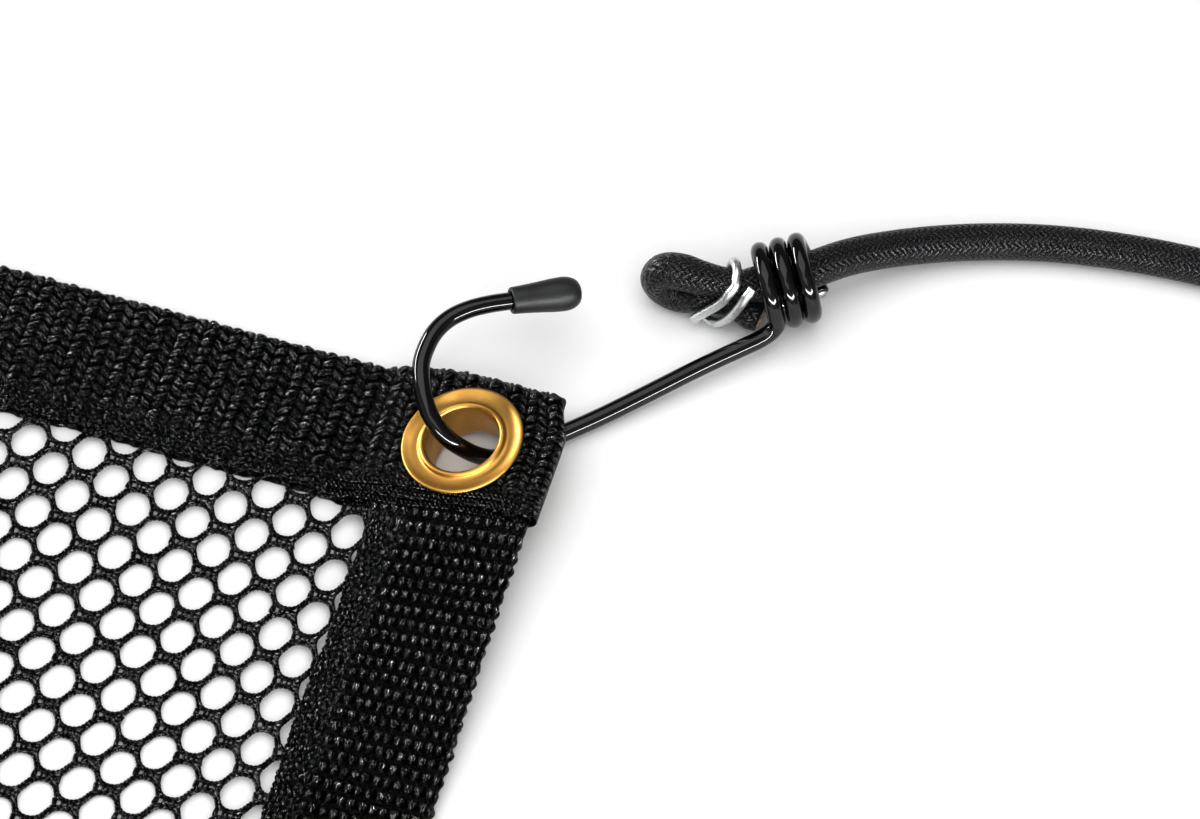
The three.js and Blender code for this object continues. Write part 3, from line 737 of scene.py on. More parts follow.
def cord_route():
    """Points of the free cord from the near coil to the far one, in millimetres."""
    arch = np.array(ARCH_ROUTE) + (HALF_X, HALF_Y, 0)
    turn = np.radians(np.arange(90, -361, -22.5))
    share = (90 - np.degrees(turn)) / 360
    radius = RING_OUTER - RING_SHRINK * share
    rise = 4.1 + 8.6 * smooth((np.degrees(-turn) - 290) / 68)
    ring = np.stack([HALF_X + RING_CENTRE[0] + radius * np.cos(turn),
                     HALF_Y + RING_CENTRE[1] + radius * np.sin(turn), rise], 1)
    back = np.array(RETURN_ROUTE) + (HALF_X, HALF_Y, 0)
    return np.vstack([arch, ring[:-1], back])


def braided_tube(name, path, step):
    """A round cord with its braid in the material: the UV map runs along and round it."""
    points, faces, uv = tube(evenly(path, step), CORD_RADIUS, 40)
    return new_piece(name, points, faces, material("braid"), uv, around=2 * np.pi * CORD_RADIUS)


class NET_OT_bungee_cord(Operator):
    """Makes the free bungee cord and its two folded ends"""
    bl_idname = "barrier_net.bungee_cord"
    bl_label = "Bungee cord"

    def execute(self, context):
        route = cord_route()
        line = catmull_rom(route, 10)
        cord = braided_tube("bungee_cord", line, 1.2)
        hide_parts("cord_arch", "cord_ring", "cord_return")
        context.scene["cord_line"] = [float(v) for v in evenly(line, 3.0).ravel()]
        for name, end in (("near", NEAR_END), ("far", FAR_END)):
            fold = catmull_rom(placed(FOLD_ROUTE, end), 12)
            piece = braided_tube(f"bungee_end_{name}", fold, 0.7)
            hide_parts(f"cord_fold_{name}")
            start, heading = fold[0, :3], fold[0, :3] - fold[3, :3]
            heading /= np.linalg.norm(heading)
            core = np.stack([start + heading * d for d in (-0.5, 0.15, 0.5)])
            points, faces, _ = tube(np.hstack([core, [[2.5], [2.4], [1.8]]]), 2.5, 24)
            plug = new_piece(f"bungee_core_{name}", points, faces, material("core"))
        return {"FINISHED"}


CAP_PROFILE = [
    [2.2, -8.0], [2.45, -8.05], [2.7, -8.0], [2.85, -7.8], [2.9, -7.4], [3.0, -5.5],
    [3.15, -3.5], [3.35, -1.2], [3.55, 0.8], [3.65, 2.2], [3.68, 3.4], [3.6, 4.4],
    [3.38, 5.3], [3.0, 6.1], [2.5, 6.7], [1.85, 7.1], [1.0, 7.35], [0.02, 7.4],
    [0.02, 0.5], [2.2, 0.5],
]


class NET_OT_hooks(Operator):
    """Makes the coated wire hooks, their cut ends and their rubber caps"""
    bl_idname = "barrier_net.hooks"
    bl_label = "Hooks and caps"

    def execute(self, context):
        radius = context.scene.barrier_net.wire_diameter / 2 / MM
        for name, end, shank in (("near", NEAR_END, HOOKED_SHANK), ("far", FAR_END, loose_shank())):
            rows = placed(np.vstack([coil_rows(), HOOK_BEND, shank]), end)
            path = evenly(catmull_rom(rows, 12), 0.7)
            points, faces, _ = tube(path, radius, 28, (0.25, 0.25))
            hook = new_piece(f"wire_hook_{name}", points, faces, material("wire"))
            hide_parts(f"hook_{name}")
            heading = path[0] - path[2]
            heading /= np.linalg.norm(heading)
            core = np.stack([path[0] + heading * d for d in (-1.0, 0.55, 0.95)])
            points, faces, _ = tube(np.hstack([core, [[1.25], [1.25], [0.9]]]), 1.25, 20)
            core = new_piece(f"hook_core_{name}", points, faces, material("zinc"))
            heading = rows[-1] - rows[-2]
            points, faces = turned(CAP_PROFILE, 48)
            cap = new_piece(f"rubber_cap_{name}", aimed(points, heading, rows[-1]), faces,
                            material("rubber"))
            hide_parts(f"hook_cap_{name}")
        return {"FINISHED"}


# How far along the legs the clip's wire is: degrees round, distance towards the fold.
CLIP_ALONG = [
    (40, -7.3), (68, -5.6), (88, -3.9), (110, -1.8), (130, 1.2), (150, 2.7),
    (180, 2.7), (230, 1.2), (275, -1.2), (315, -2.6), (340, -3.1), (360, -3.5),
    (400, -3.6), (430, -1.8), (450, 0.8), (465, 3.2), (480, 5.2),
]


def clip_rows(step=8):
    """The clip: a wire round both legs of the fold from 40 degrees to 480, its section
    two half circles of radius 4.65 pulled 3.4 apart. It stands 0.5 proud of the tail."""
    degrees = np.arange(40, 481, step)
    turn = np.radians(degrees)
    heading = math.radians(154)
    along = np.interp(degrees, *np.transpose(CLIP_ALONG))
    along = np.convolve(np.pad(along, 1, mode="edge"), [0.25, 0.5, 0.25], "valid")
    radius = 4.65 + 0.5 * (1 - smooth((degrees - 120) / 60)) + 0.1 * np.clip(along - 1.5, 0, None)
    side = radius * np.sin(turn)
    reach = 3.4 * np.clip(2 * np.cos(turn), -1, 1)
    return np.stack([-13.2 + along * math.cos(heading) - side * math.sin(heading),
                     2.6 + along * math.sin(heading) + side * math.cos(heading),
                     9.45 + reach + radius * np.cos(turn)], 1)


class NET_OT_cord_clips(Operator):
    """Makes the wire clips that close the cord's folded ends"""
    bl_idname = "barrier_net.cord_clips"
    bl_label = "Cord clips"

    def execute(self, context):
        for name, end in (("near", NEAR_END), ("far", FAR_END)):
            path = evenly(catmull_rom(placed(clip_rows(), end), 8), 0.4)
            points, faces, _ = tube(path, CLIP_RADIUS, 20, (0.4, 0.4))
            clip = new_piece(f"wire_clip_{name}", points, faces, material("zinc"))
            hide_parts(f"cord_clip_{name}")
        return {"FINISHED"}


# ------------------------------------------------------------------------- the cloth

HOLE_ORIGIN = np.array([HALF_X - 64.06, HALF_Y - 63.64])
BLOCK_LEFT = np.array([-1.9, 5.37])     # ends of the knitted block over a hole
BLOCK_RIGHT = np.array([2.3, 5.49])


def hole_reach(turn):
    """From a hole's middle to its edge: 3.715 on average, longest at 71 degrees, with
    the slight corners of a cell of six sides."""
    return (3.715 + 0.326 * np.cos(2 * (turn - math.radians(71))) + 0.109 * np.cos(4 * turn)
            + 0.082 * np.cos(6 * turn))


def lattice(settings):
    """The steps from a hole to its neighbours on the lower right and lower left: half
    a course on, and half a wale down."""
    course = settings.hole_pitch_x / MM * np.array([math.cos(settings.course_turn),
                                                    math.sin(settings.course_turn)])
    wale = settings.hole_pitch_y / MM * np.array([math.sin(settings.wale_turn),
                                                  math.cos(settings.wale_turn)])
    return (course - wale) / 2, (-course - wale) / 2


def drawn(plan):
    """The mesh bulges by the hooked corner: (0.42, 0.16) - (4.4, 1.7) r2, with r the
    distance in 100 mm from the bulge's middle and r2 at most 0.4. It fades to none
    from 60 to 150 mm away."""
    plan = np.asarray(plan, float)
    away = np.linalg.norm(plan - (HALF_X - 70.5, HALF_Y - 73.0), axis=-1, keepdims=True)
    pull = np.minimum((away / 100) ** 2, 0.4)
    return plan + (np.array([0.42, 0.16]) - pull * [4.4, 1.7]) * (1 - smooth((away - 60) / 90))


def in_corner_zone(x, y):
    """True in the corner whose mesh is made of real yarns: a strip that ends on a
    slanted line on the left."""
    x, y = x - HALF_X, y - HALF_Y
    return (y > -136) & (y < -30) & (x < -30) & (x > -127 + (-28 - y) * 0.36)


class NET_OT_mesh_panel(Operator):
    """Makes the knitted mesh: an open sheet of hexagonal cells, and real yarns in the
    hooked corner"""
    bl_idname = "barrier_net.mesh_panel"
    bl_label = "Mesh panel"

    def holes(self, settings):
        """Middles of all the holes inside the border, on the undrawn lattice."""
        right, left = lattice(settings)
        i, j = (k.ravel() for k in np.meshgrid(np.arange(-190, 40), np.arange(-110, 50)))
        middles = HOLE_ORIGIN + np.outer(i, (right - left) / 2) - np.outer(j + (i % 2) / 2, right + left)
        x, y = middles.T
        inside = (np.abs(x) < HALF_X - 9) & (np.abs(y) < HALF_Y - 9)
        inside &= np.abs(x) + np.abs(y) < HALF_X + HALF_Y - 64
        return middles[inside]

    def sheet(self, name, middles, settings):
        """Each cell is a hexagon with an eight-sided hole: its rim stands 0.27 above
        the hole's edge, so the walls look round. Neighbours share their rim's points,
        and a wall closes the rim where a cell has no neighbour."""
        right, left = lattice(settings)
        rim = np.array([BLOCK_LEFT + right, BLOCK_RIGHT, BLOCK_LEFT, BLOCK_RIGHT + left,
                        BLOCK_LEFT + right + left, BLOCK_RIGHT + right + left])
        hole = np.array([[3.7, 1.3], [1.95, 3.9], [-1.85, 3.8], [-3.35, 1.25],
                         [-3.5, -0.9], [-1.75, -3.9], [1.5, -3.95], [3.3, -1.5]])
        count = len(middles)
        centre = middles[:, None]
        wobble = np.random.default_rng(7).normal(0, 0.1, (count, 8, 2))
        rims = (centre + rim).reshape(-1, 2)
        keys = np.round(rims * 20 + 0.013).astype(np.int64)
        _, first, back = np.unique(keys[:, 0] * 1000003 + keys[:, 1], return_index=True,
                                   return_inverse=True)
        rims = rims[first]
        back = back.reshape(count, 6)
        holes = (centre + hole + wobble).reshape(-1, 2)
        plan = drawn(np.vstack([rims, rims, holes, holes]))
        height = mesh_middle(plan[:, 0], plan[:, 1])
        n_rim, n_hole = len(rims), len(holes)
        height += np.repeat([0.55, -0.55, 0.28, -0.28], [n_rim, n_rim, n_hole, n_hole])
        high = 2 * n_rim + np.arange(n_hole).reshape(count, 8)
        low = high + n_hole
        steps = [(0, 0), (0, 1), (1, 1), (1, 2), (2, 2), (2, 3), (3, 3), (3, 4), (3, 5),
                 (4, 5), (4, 6), (5, 6), (5, 7), (0, 7), (0, 0)]
        faces = []
        for (r0, h0), (r1, h1) in zip(steps[:-1], steps[1:]):
            if r0 == r1:
                above = back[:, r0], high[:, h1], high[:, h0]
                under = back[:, r0] + n_rim, low[:, h1], low[:, h0]
            else:
                above = back[:, r0], back[:, r1], high[:, h0]
                under = back[:, r0] + n_rim, back[:, r1] + n_rim, low[:, h0]
            faces.append(np.stack([above[0], above[1], above[2], above[2]], 1))
            faces.append(np.stack([under[0], under[2], under[1], under[1]], 1))
        after = np.roll(np.arange(8), -1)
        faces.append(np.stack([high, high[:, after], low[:, after], low], 2).reshape(-1, 4))
        edges = np.stack([back, np.roll(back, -1, 1)], 2).reshape(-1, 2)
        code = edges.min(1).astype(np.int64) * n_rim + edges.max(1)
        _, where, times = np.unique(code, return_index=True, return_counts=True)
        border = edges[where[times == 1]]
        faces.append(np.stack([border[:, 1], border[:, 0], border[:, 0] + n_rim,
                               border[:, 1] + n_rim], 1))
        points = np.hstack([plan, height[:, None]])
        return new_piece(name, points, np.vstack(faces), material("yarn"))

    def loops(self, middles):
        """Round each hole, two strands wound round each other: they follow its outline
        0.42 outside it, 0.12 to each side of that line, with fourteen turns a loop."""
        draw = np.random.default_rng(11)
        turn = np.arange(54) * 2 * np.pi / 54
        count = len(middles)
        parts = []
        outward = np.stack([np.cos(turn), np.sin(turn), 0 * turn], 1)
        up = np.array([0.0, 0.0, 1.0])
        size = hole_reach(turn) * (1 + draw.normal(0, 0.008, (count, 1)))
        size = size + 0.06 * np.sin(2 * turn + draw.uniform(0, 6.3, (count, 1)))
        phase = draw.uniform(0, 6.3, (count, 1))
        for strand in (0, np.pi):
            wind = 14 * turn + phase + strand
            reach = size + 0.42 + 0.12 * np.cos(wind)
            plan = drawn(middles[:, None] + reach[..., None] * outward[:, :2])
            height = mesh_middle(plan[..., 0], plan[..., 1]) + 0.2 * np.sin(wind)
            centres = np.concatenate([plan, height[..., None]], 2)
            parts.append(bundle(centres, outward, up, 0.34, 5, closed=True))
        return joined(parts)

    def blocks(self, middles):
        """Over each hole, the knitted block: two strands along it, which leave a slit
        of 1.0 narrowing to 0.2, and five short ties that cross the slit."""
        draw = np.random.default_rng(5)
        count = len(middles)
        base = middles[:, None, None] + (BLOCK_LEFT + BLOCK_RIGHT) / 2
        lengthways = np.array([[-2.5, 0.82], [-1.8, 0.8], [-0.6, 0.56], [1.0, 0.5], [2.7, 0.42]])
        rows = np.stack([lengthways, lengthways * (1, -1)])
        plan = drawn(base + rows + draw.normal(0, 0.05, (count, 2, 5, 2)))
        height = mesh_middle(plan[..., 0], plan[..., 1]) + [0.0, 0.2, 0.1, 0.25, 0.0]
        centres = np.concatenate([plan, height[..., None]], 3).reshape(-1, 5, 3)
        sideways, up, forwards = np.array([0.0, 1, 0]), np.array([0.0, 0, 1]), np.array([1.0, 0, 0])
        parts = [bundle(centres, sideways, up, 0.34, 5)]
        place = np.array([-2.75, -0.9, 0.0, 1.25, 2.7]) + draw.normal(0, 0.08, (count, 5))
        reach = np.array([-0.85, -0.45, 0.0, 0.45, 0.85])
        lean = draw.normal(0, 0.12, (count, 5, 1))
        plan = np.stack(np.broadcast_arrays(place[..., None] + lean * reach, reach + 0 * lean), -1)
        plan = drawn(base + plan)
        height = mesh_middle(plan[..., 0], plan[..., 1]) + [-0.05, 0.3, 0.36, 0.3, -0.05]
        centres = np.concatenate([plan, height[..., None]], 3).reshape(-1, 5, 3)
        parts.append(bundle(centres, up, forwards, 0.35, 5))
        return joined(parts)

    def execute(self, context):
        settings = context.scene.barrier_net
        middles = self.holes(settings)
        fine = in_corner_zone(*drawn(middles).T)
        plain = middles[~fine]
        left = self.sheet("mesh_left", plain[plain[:, 0] < 0], settings)
        right = self.sheet("mesh_right", plain[plain[:, 0] >= 0], settings)
        points, faces = joined([self.loops(middles[fine]), self.blocks(middles[fine])])
        corner = new_piece("mesh_corner_yarns", points, faces, material("yarn"))
        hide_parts("mesh_panel")
        return {"FINISHED"}


def knit_relief(along, across, rib, stitch, slope, short):
    """Height of the webbing, 0 to 1: petals a stitch apart in each rib. In a long band
    they slant one way in one rib and the other way in the next, 0.74 of a stitch wide,
    and rise as sin(pi s^0.7)^0.65. In a short band each is a tooth, pointed below and
    wide above, that rises as sin(pi s^1.3)^0.65."""
    draw = np.random.default_rng(3)
    tall, shift = draw.uniform(0.5, 1.0, (64, 64)), draw.normal(0, 0.06, (64, 64))
    column = np.floor(along / rib)
    half = along / rib - column - 0.5
    way = np.where(column % 2 == 0, 1.0, -1.0)
    if short:
        forward = np.clip((half + 0.26) / 0.74, 0, 1)
        place = across / stitch + 0.22 * column
        width = 0.11 + 0.43 * np.minimum(forward, 0.6)
    else:
        forward = np.clip((half * way + 0.44) / 0.92, 0, 1)
        place = (across + way * slope * half) / stitch
        width = 0.37
    row = np.floor(place)
    cell = column.astype(int) % 64, row.astype(int) % 64
    beside = (place - row - 0.5 + shift[cell]) / width
    rise = np.sin(np.pi * forward ** (1.3 if short else 0.7))
    return np.sqrt(np.clip(1 - beside ** 2, 0, 1)) * np.clip(rise, 0, 1) ** 0.65 * tall[cell]


def band_profile(fine):
    """Round a folded band: (in from the fold, height, normal in, normal up, distance
    over the web), from the upper selvedge over the fold to the lower one. Each
    selvedge is rounded over half a layer and turns in."""
    lip = [[BAND - 1.8, BAND_HALF - WEB, 0, 0, BAND + 2.4],
           [BAND - 0.8, BAND_HALF - WEB, 0, 0, BAND + 1.4]]
    half = WEB / 2
    lip += [[BAND - half + half * math.cos(a), BAND_HALF - half + half * math.sin(a),
             0.7 * math.cos(a), 0.7 * math.sin(a), BAND - half + half * (math.pi / 2 - a)]
            for a in np.radians([-60, -20, 20, 60])]
    edge = BAND - 0.6
    leg = np.linspace(edge, BAND_HALF, int((edge - BAND_HALF) / RELIEF_STEP) if fine else 18)
    rows = lip + [[d, BAND_HALF, 0, 1, d] for d in leg]
    arc = np.linspace(np.pi / 2, -np.pi / 2, 24 if fine else 12)[1:-1]
    rows += [[BAND_HALF - BAND_HALF * math.cos(a), BAND_HALF * math.sin(a), -math.cos(a),
              math.sin(a), BAND_HALF - BAND_HALF * (np.pi / 2 - a)] for a in arc]
    under = (1 - np.pi) * BAND_HALF
    rows += [[d, -BAND_HALF, 0, -1, under - (d - BAND_HALF)] for d in np.linspace(BAND_HALF, edge, 9)]
    rows += [[d, -h, 0, 0, under + BAND_HALF - w] for d, h, _, _, w in lip[::-1]]
    return np.array(rows)


class NET_OT_bindings(Operator):
    """Makes the four folded webbing bands with their knitted relief"""
    bl_idname = "barrier_net.bindings"
    bl_label = "Bindings"

    def band(self, name, lines, fine_from, fine_to, rib, settings, grow_at, to_plan, flip, fine):
        """One band: its profile at each of the lines along it, opened by grow_at and
        closed at the ends in half rounds. Its relief is in the mesh from fine_from to
        fine_to and in the material elsewhere. to_plan turns a distance along the band
        and one inwards from the fold into x and y, and faces by an eyelet are left out."""
        profile = band_profile(fine)
        count = len(profile)
        along = np.repeat(lines, count)
        into, height, normal_in, normal_up, web = (np.tile(profile[:, k], len(lines)) for k in range(5))
        grow = grow_at(along)
        on_arc = into < BAND_HALF - 1e-6
        radius = np.maximum(np.hypot(into - BAND_HALF, height), 1e-6)
        scale = (radius + grow) / radius
        share = (BAND - into) / (BAND - BAND_HALF)
        into_open = np.where(on_arc, BAND_HALF + grow + (into - BAND_HALF) * scale, into + grow * share)
        height_open = np.where(on_arc, height * scale, height + np.sign(height) * grow)
        end = np.abs(lines).max()
        left = np.clip((end - np.abs(along)) / (BAND_HALF + grow), 0, 1)
        height_open *= np.sqrt(1 - (1 - left) ** 2)
        zone = smooth((along - fine_from) / 4) * smooth((fine_to - along) / 4) if fine else 0 * along
        stitch, slope = settings.stitch_pitch / MM, SLANT * settings.rib_pitch / MM
        short = rib > settings.rib_pitch / MM
        relief = knit_relief(along, web, rib, stitch, slope, short)
        hem = smooth((web - 25) / 5)
        small = knit_relief(along + 0.6 * np.sin(web), web + 0.7 * np.sin(along / 2.3),
                            1.5, 1.25, 0.9, False)
        relief = relief + (small * 0.85 - relief) * hem
        share_at_fold = 0.85
        depth = zone * (relief - 0.5) * smooth(left * 4)
        depth *= share_at_fold + (1 - share_at_fold) * smooth((web - 1) / 3)
        into_open = into_open + normal_in * depth
        height_open = height_open + normal_up * depth * left
        ragged = np.random.default_rng(9).uniform(-1, 1, 2048)
        wander = 0.2 * np.sin(along / 7.3) + 0.25 * np.interp(along / 1.3 % 2000, np.arange(2048), ragged)
        if not short:
            wander -= 0.7 * smooth((HALF_X - 38 - np.abs(along)) / 15)
        into_open = into_open + wander * smooth((into - 20) / 15)
        outer = 0.6 * np.sign(along) * (1 - left) * depth
        x, y = to_plan(along + outer, into_open)
        points = np.stack([x, y, band_middle(x, y) + height_open], 1)
        faces = grid_faces(len(lines), count, flip=flip)
        centres = points[faces].mean(1)
        clear = np.ones(len(faces), bool)
        cut = np.where(web[faces].mean(1) < 0, CUT_BELOW, CUT_ABOVE)
        for side_x in (-1, 1):
            for side_y in (-1, 1):
                ex, ey = side_x * EYELET[0], side_y * EYELET[1]
                tilt = LEVER_SLOPE if side_x > 0 and side_y > 0 else 0.0
                offset = tilt * (centres[:, 2] - float(band_middle(np.array(ex), np.array(ey))))
                clear &= np.hypot(centres[:, 0] - ex + offset, centres[:, 1] - ey) > cut
        uv = np.stack([along, web], 1)
        # The material also reads relief to paint the gaps between petals darker: painted shade.
        return new_piece(name, points, faces[clear], material("webbing"), uv, {
            "flat": 1 - zone, "rib": np.full(len(points), rib * MM),
            "relief": zone * relief})

    def drawn_end(self, x, y, into):
        """The long bands' outer corners are drawn in: their ends by up to 2.8 and their
        folds by up to 2.5, half as much away from the hooked corner. The tip is round,
        with a radius of 1.8."""
        amount = np.where((x > 0) & (y > 0), 1.0, 0.5)
        near = smooth((np.abs(x) - (HALF_X - 16)) / 16)
        by_end = smooth((np.abs(x) - (HALF_X - 28)) / 28)
        tip = np.clip((np.abs(x) - (HALF_X - 0.3)) / 1.8, 0, 1)
        y = y - np.sign(y) * 1.8 * (1 - np.sqrt(1 - tip ** 2)) * np.clip(1 - into / 10, 0, 1)
        x = x - np.sign(x) * amount * 2.8 * smooth((13 - into) / 12) * near
        y = y - np.sign(y) * amount * 2.5 * by_end * np.clip(1 - into / BAND, 0, 1)
        return x, y

    def execute(self, context):
        settings = context.scene.barrier_net
        grown = CORNER_HALF - BAND_HALF
        share = lambda x: corner_share(x, np.full_like(x, HALF_Y))
        end = HALF_X + BAND_OVERHANG
        tips = end - np.array([0, 0.03, 0.15, 0.4, 0.8, 1.4, 2.2])
        coarse = np.concatenate([-tips, np.linspace(4 - end, -450, 20), np.linspace(-445, 360, 110)])
        long_lines = {1: np.concatenate([coarse, np.arange(362, tips[-1], RELIEF_STEP), tips[::-1]]),
                      -1: np.concatenate([coarse, np.linspace(364, 450, 12),
                                          np.linspace(453, end - 4, 20), tips[::-1]])}
        for name, side in (("back", 1), ("front", -1)):
            piece = self.band(
                f"webbing_{name}", long_lines[side], 364, 600, settings.rib_pitch / MM, settings,
                lambda x: grown * share(x),
                lambda x, into, side=side: self.drawn_end(
                    x, side * (HALF_Y + CORNER_BULGE * share(x) - into), into),
                side > 0, side > 0)
            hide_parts(f"{name}_binding")
        end = HALF_Y - SHORT_BAND_STOP
        short = {1: np.concatenate([np.linspace(-end, 190, 80), np.arange(192, 291, RELIEF_STEP),
                                    np.linspace(292, end, 16)]),
                 -1: np.linspace(-end, end, 110)}
        for name, side in (("right", 1), ("left", -1)):
            piece = self.band(
                f"webbing_{name}", short[side], 193, 290, settings.rib_pitch_short / MM, settings,
                lambda y: np.zeros_like(y),
                lambda y, into, side=side: (side * (HALF_X - into), y),
                side < 0, side > 0)
            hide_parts(f"{name}_binding")
        self.selvedges()
        return {"FINISHED"}

    def selvedges(self):
        """At the hooked corner the upper band's edge shows its layers: three selvedges,
        each two strands wound round each other, one turn every 2.1."""
        sideways, up = np.array([0.0, 1, 0]), np.array([0.0, 0, 1])
        parts = []
        for along_end, into, drop in ((0.0, 31.4, -0.3), (-0.6, 33.0, 0.4), (-1.4, 34.5, 1.4)):
            x = np.linspace(-46, along_end, 150) + HALF_X
            y = HALF_Y + CORNER_BULGE - into - 2.2 * smooth((x - HALF_X + 9) / 9)
            y += 0.25 * np.sin(x / 3.7 + into)
            z = band_middle(x, y) + CORNER_HALF - drop - 1.6 * smooth((x - HALF_X + 7) / 7)
            wind = x * 2 * np.pi / 2.1 + into
            for strand in (0, np.pi):
                centres = np.stack([x, y + 0.36 * np.cos(wind + strand),
                                    z + 0.36 * np.sin(wind + strand)], 1)
                parts.append(bundle(centres[None], sideways, up, 0.42, 8))
        points, faces = joined(parts)
        piece = new_piece("webbing_selvedges", points, faces, material("yarn"))


# ----------------------------------------------------------------------- the eyelets

EYELET_PROFILE = [
    [8.0, -4.5], [8.15, -4.85], [8.5, -5.0], [9.5, -5.0], [10.2, -4.95], [10.4, -4.75],
    [10.3, -4.55], [8.6, -4.5], [8.6, 3.7], [12.95, 3.72], [13.2, 3.85], [13.27, 4.1],
    [13.2, 4.35], [13.0, 4.5], [12.7, 4.5], [12.2, 4.32], [11.6, 4.14], [11.0, 4.03],
    [10.4, 4.0], [9.9, 4.02], [9.55, 4.1], [9.42, 4.25], [9.36, 4.5], [9.28, 4.75],
    [9.1, 4.93], [8.85, 5.0], [8.55, 4.95], [8.3, 4.78], [8.1, 4.5], [8.0, 4.1],
]


class NET_OT_eyelets(Operator):
    """Makes the four brass eyelets and finishes their washers"""
    bl_idname = "barrier_net.eyelets"
    bl_label = "Eyelets"

    def execute(self, context):
        for name, side_x, side_y in (("back_right", 1, 1), ("back_left", -1, 1),
                                     ("front_left", -1, -1), ("front_right", 1, -1)):
            x, y = side_x * EYELET[0], side_y * EYELET[1]
            tilt = -LEVER_SLOPE if name == "back_right" else 0.0
            middle = float(band_middle(np.array(x), np.array(y)))
            points, faces = turned(EYELET_PROFILE, 112)
            eyelet = new_piece(f"brass_{name}", aimed(points, (tilt, 0, 1), (x, y, middle)), faces,
                               material("brass"))
            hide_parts(f"eyelet_{name}")
            washer = bpy.data.objects[f"washer_{name}"]
            washer.data.materials.clear()
            washer.data.materials.append(material("brass"))
        return {"FINISHED"}


# -------------------------------------------------------------- declarations, stage

class NET_OT_soft_facts(Operator):
    """An empty step: it runs and changes nothing."""
    bl_idname = "barrier_net.soft_facts"
    bl_label = "Cord and cloth facts"

    def execute(self, context):
        return {"FINISHED"}


CAMERA_BACK = Vector((0.150, -0.488, 0.860)).normalized()
CAMERA_FAR = 1.5
VIEW_WIDTH = 0.2553
VIEW_CENTRE = Vector(((HALF_X + 3.8) * MM, (HALF_Y + 4.8) * MM, 0.0))


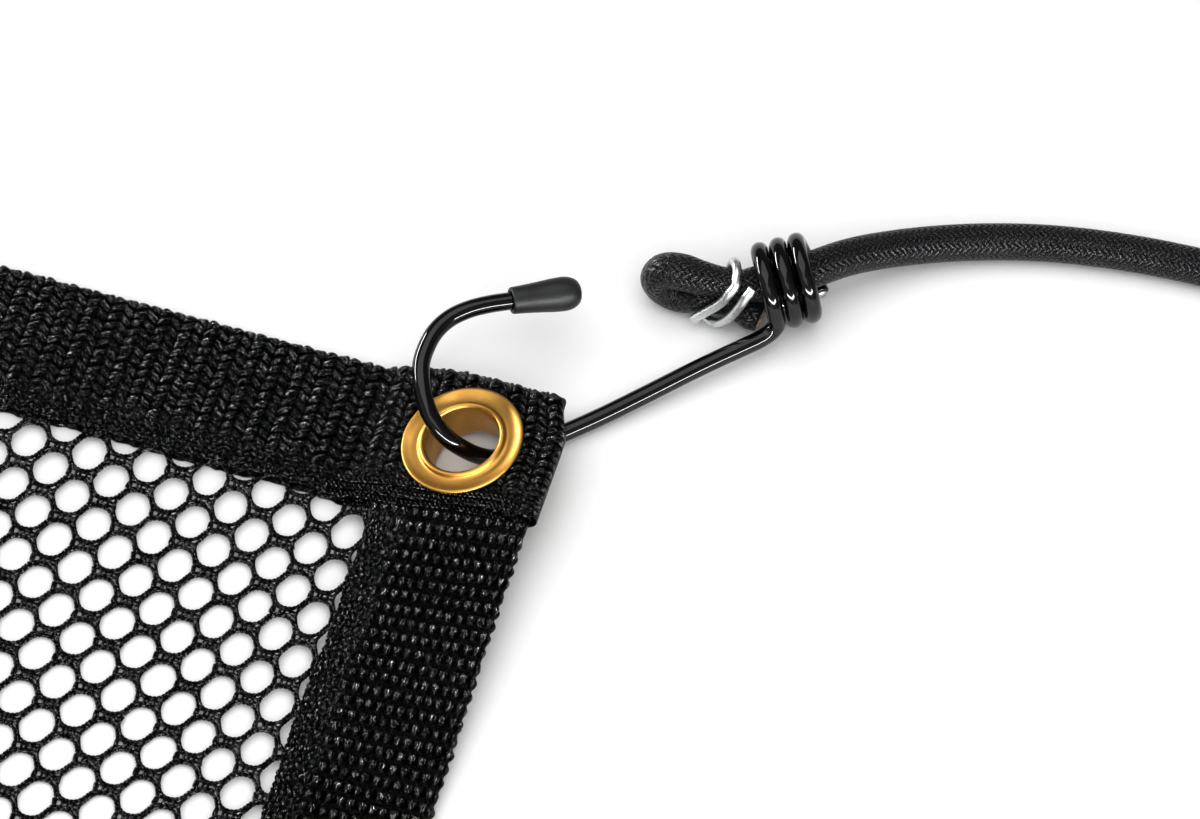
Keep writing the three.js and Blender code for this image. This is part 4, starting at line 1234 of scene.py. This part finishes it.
class NET_OT_stage(Operator):
    """Makes the camera, the pale floor and the soft studio lights"""
    bl_idname = "barrier_net.stage"
    bl_label = "Stage"

    def light(self, name, place, size, power):
        """A rectangular lamp, placed from the view's centre and aimed at it."""
        data = bpy.data.lights.new(name, "AREA")
        data.shape = "RECTANGLE"
        data.size, data.size_y = size
        data.energy = power
        lamp = bpy.data.objects.new(name, data)
        lamp.location = VIEW_CENTRE + Vector(place)
        lamp.rotation_euler = (-Vector(place)).to_track_quat("-Z", "Y").to_euler()
        bpy.context.scene.collection.objects.link(lamp)
        return lamp

    def execute(self, context):
        scene = context.scene
        data = bpy.data.cameras.new("camera")
        data.sensor_width = 36.0
        data.lens = 36.0 * CAMERA_FAR / VIEW_WIDTH
        data.clip_start, data.clip_end = 0.01, 50
        camera = bpy.data.objects.new("camera", data)
        camera.location = VIEW_CENTRE + CAMERA_BACK * CAMERA_FAR
        camera.rotation_euler = (-CAMERA_BACK).to_track_quat("-Z", "Y").to_euler()
        scene.collection.objects.link(camera)
        scene.camera = camera

        floor_mesh = bpy.data.meshes.new("floor")
        floor_mesh.from_pydata([(-9, -9, 0), (9, -9, 0), (9, 9, 0), (-9, 9, 0)], [], [(0, 1, 2, 3)])
        floor = bpy.data.objects.new("floor", floor_mesh)
        scene.collection.objects.link(floor)
        finish, _, shader = new_material("studio_floor", Roughness=0.6)
        shader.inputs["Base Color"].default_value = linear(scene.barrier_net.floor_colour)
        floor_mesh.materials.append(finish)

        world = bpy.data.worlds.new("studio")
        world.use_nodes = True
        world.node_tree.nodes["Background"].inputs[0].default_value = (1, 1, 1, 1)
        tree = world.node_tree
        place = add_node(tree, "ShaderNodeTexCoord").outputs["Generated"]
        back = add_node(tree, "ShaderNodeSeparateXYZ", {0: place}).outputs[1]
        light = add_node(tree, "ShaderNodeMapRange", {
            "Value": back, "From Min": -0.55, "From Max": 0.35, "To Min": 0.6, "To Max": 0.2})
        tree.links.new(light.outputs[0], tree.nodes["Background"].inputs[1])
        scene.world = world
        scene.view_settings.view_transform = "Standard"
        scene.view_settings.gamma = 0.85
        # The bars are seen in reflections only and the fill gives none, so that black
        # cloth keeps its glints and the floor its soft shadows.
        for name, place, size, power in (
            ("bar_front", (0.3, -1.1, 0.4), (1.0, 0.13), 18),
            ("bar_right", (1.0, -0.66, 0.4), (0.8, 0.14), 16),
            ("bar_left", (-1.2, 0.2, 0.36), (0.9, 0.12), 20),
        ):
            bar = self.light(name, place, size, power)
            bar.visible_diffuse = False
        self.light("softbox_front", (0.1, -0.9, 1.1), (1.0, 0.5), 2.5)
        self.light("softbox_above", (-0.5, 0.25, 3.0), (4.0, 3.0), 74)
        fill = self.light("fill_right", (1.1, -0.8, 2.4), (2.4, 2.4), 30)
        fill.visible_glossy = False
        return {"FINISHED"}


class NET_PT_panel(Panel):
    """Lists the net's settings and steps"""
    bl_idname = "NET_PT_panel"
    bl_label = "Dog barrier net"
    bl_space_type = "VIEW_3D"
    bl_region_type = "UI"
    bl_category = "Net"

    def draw(self, context):
        for name in BarrierNetSettings.__annotations__:
            self.layout.prop(context.scene.barrier_net, name)
        for step in STEPS:
            self.layout.operator(step.bl_idname)


STEPS = (NET_OT_stage, NET_OT_bungee_cord, NET_OT_hooks, NET_OT_cord_clips,
         NET_OT_mesh_panel, NET_OT_bindings, NET_OT_eyelets, NET_OT_soft_facts)
CLASSES = (BarrierNetSettings, *STEPS, NET_PT_panel)


def register():
    """Registers the classes and the scene's settings."""
    for cls in CLASSES:
        bpy.utils.register_class(cls)
    bpy.types.Scene.barrier_net = PointerProperty(type=BarrierNetSettings)


def unregister():
    """Undoes register."""
    del bpy.types.Scene.barrier_net
    for cls in reversed(CLASSES):
        bpy.utils.unregister_class(cls)


def main():
    """Runs the steps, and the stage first."""
    register()
    bpy.ops.barrier_net.stage()
    bpy.ops.barrier_net.bungee_cord()
    bpy.ops.barrier_net.hooks()
    bpy.ops.barrier_net.cord_clips()
    bpy.ops.barrier_net.mesh_panel()
    bpy.ops.barrier_net.bindings()
    bpy.ops.barrier_net.eyelets()
    bpy.ops.barrier_net.soft_facts()


if __name__ == "__main__":
    main()
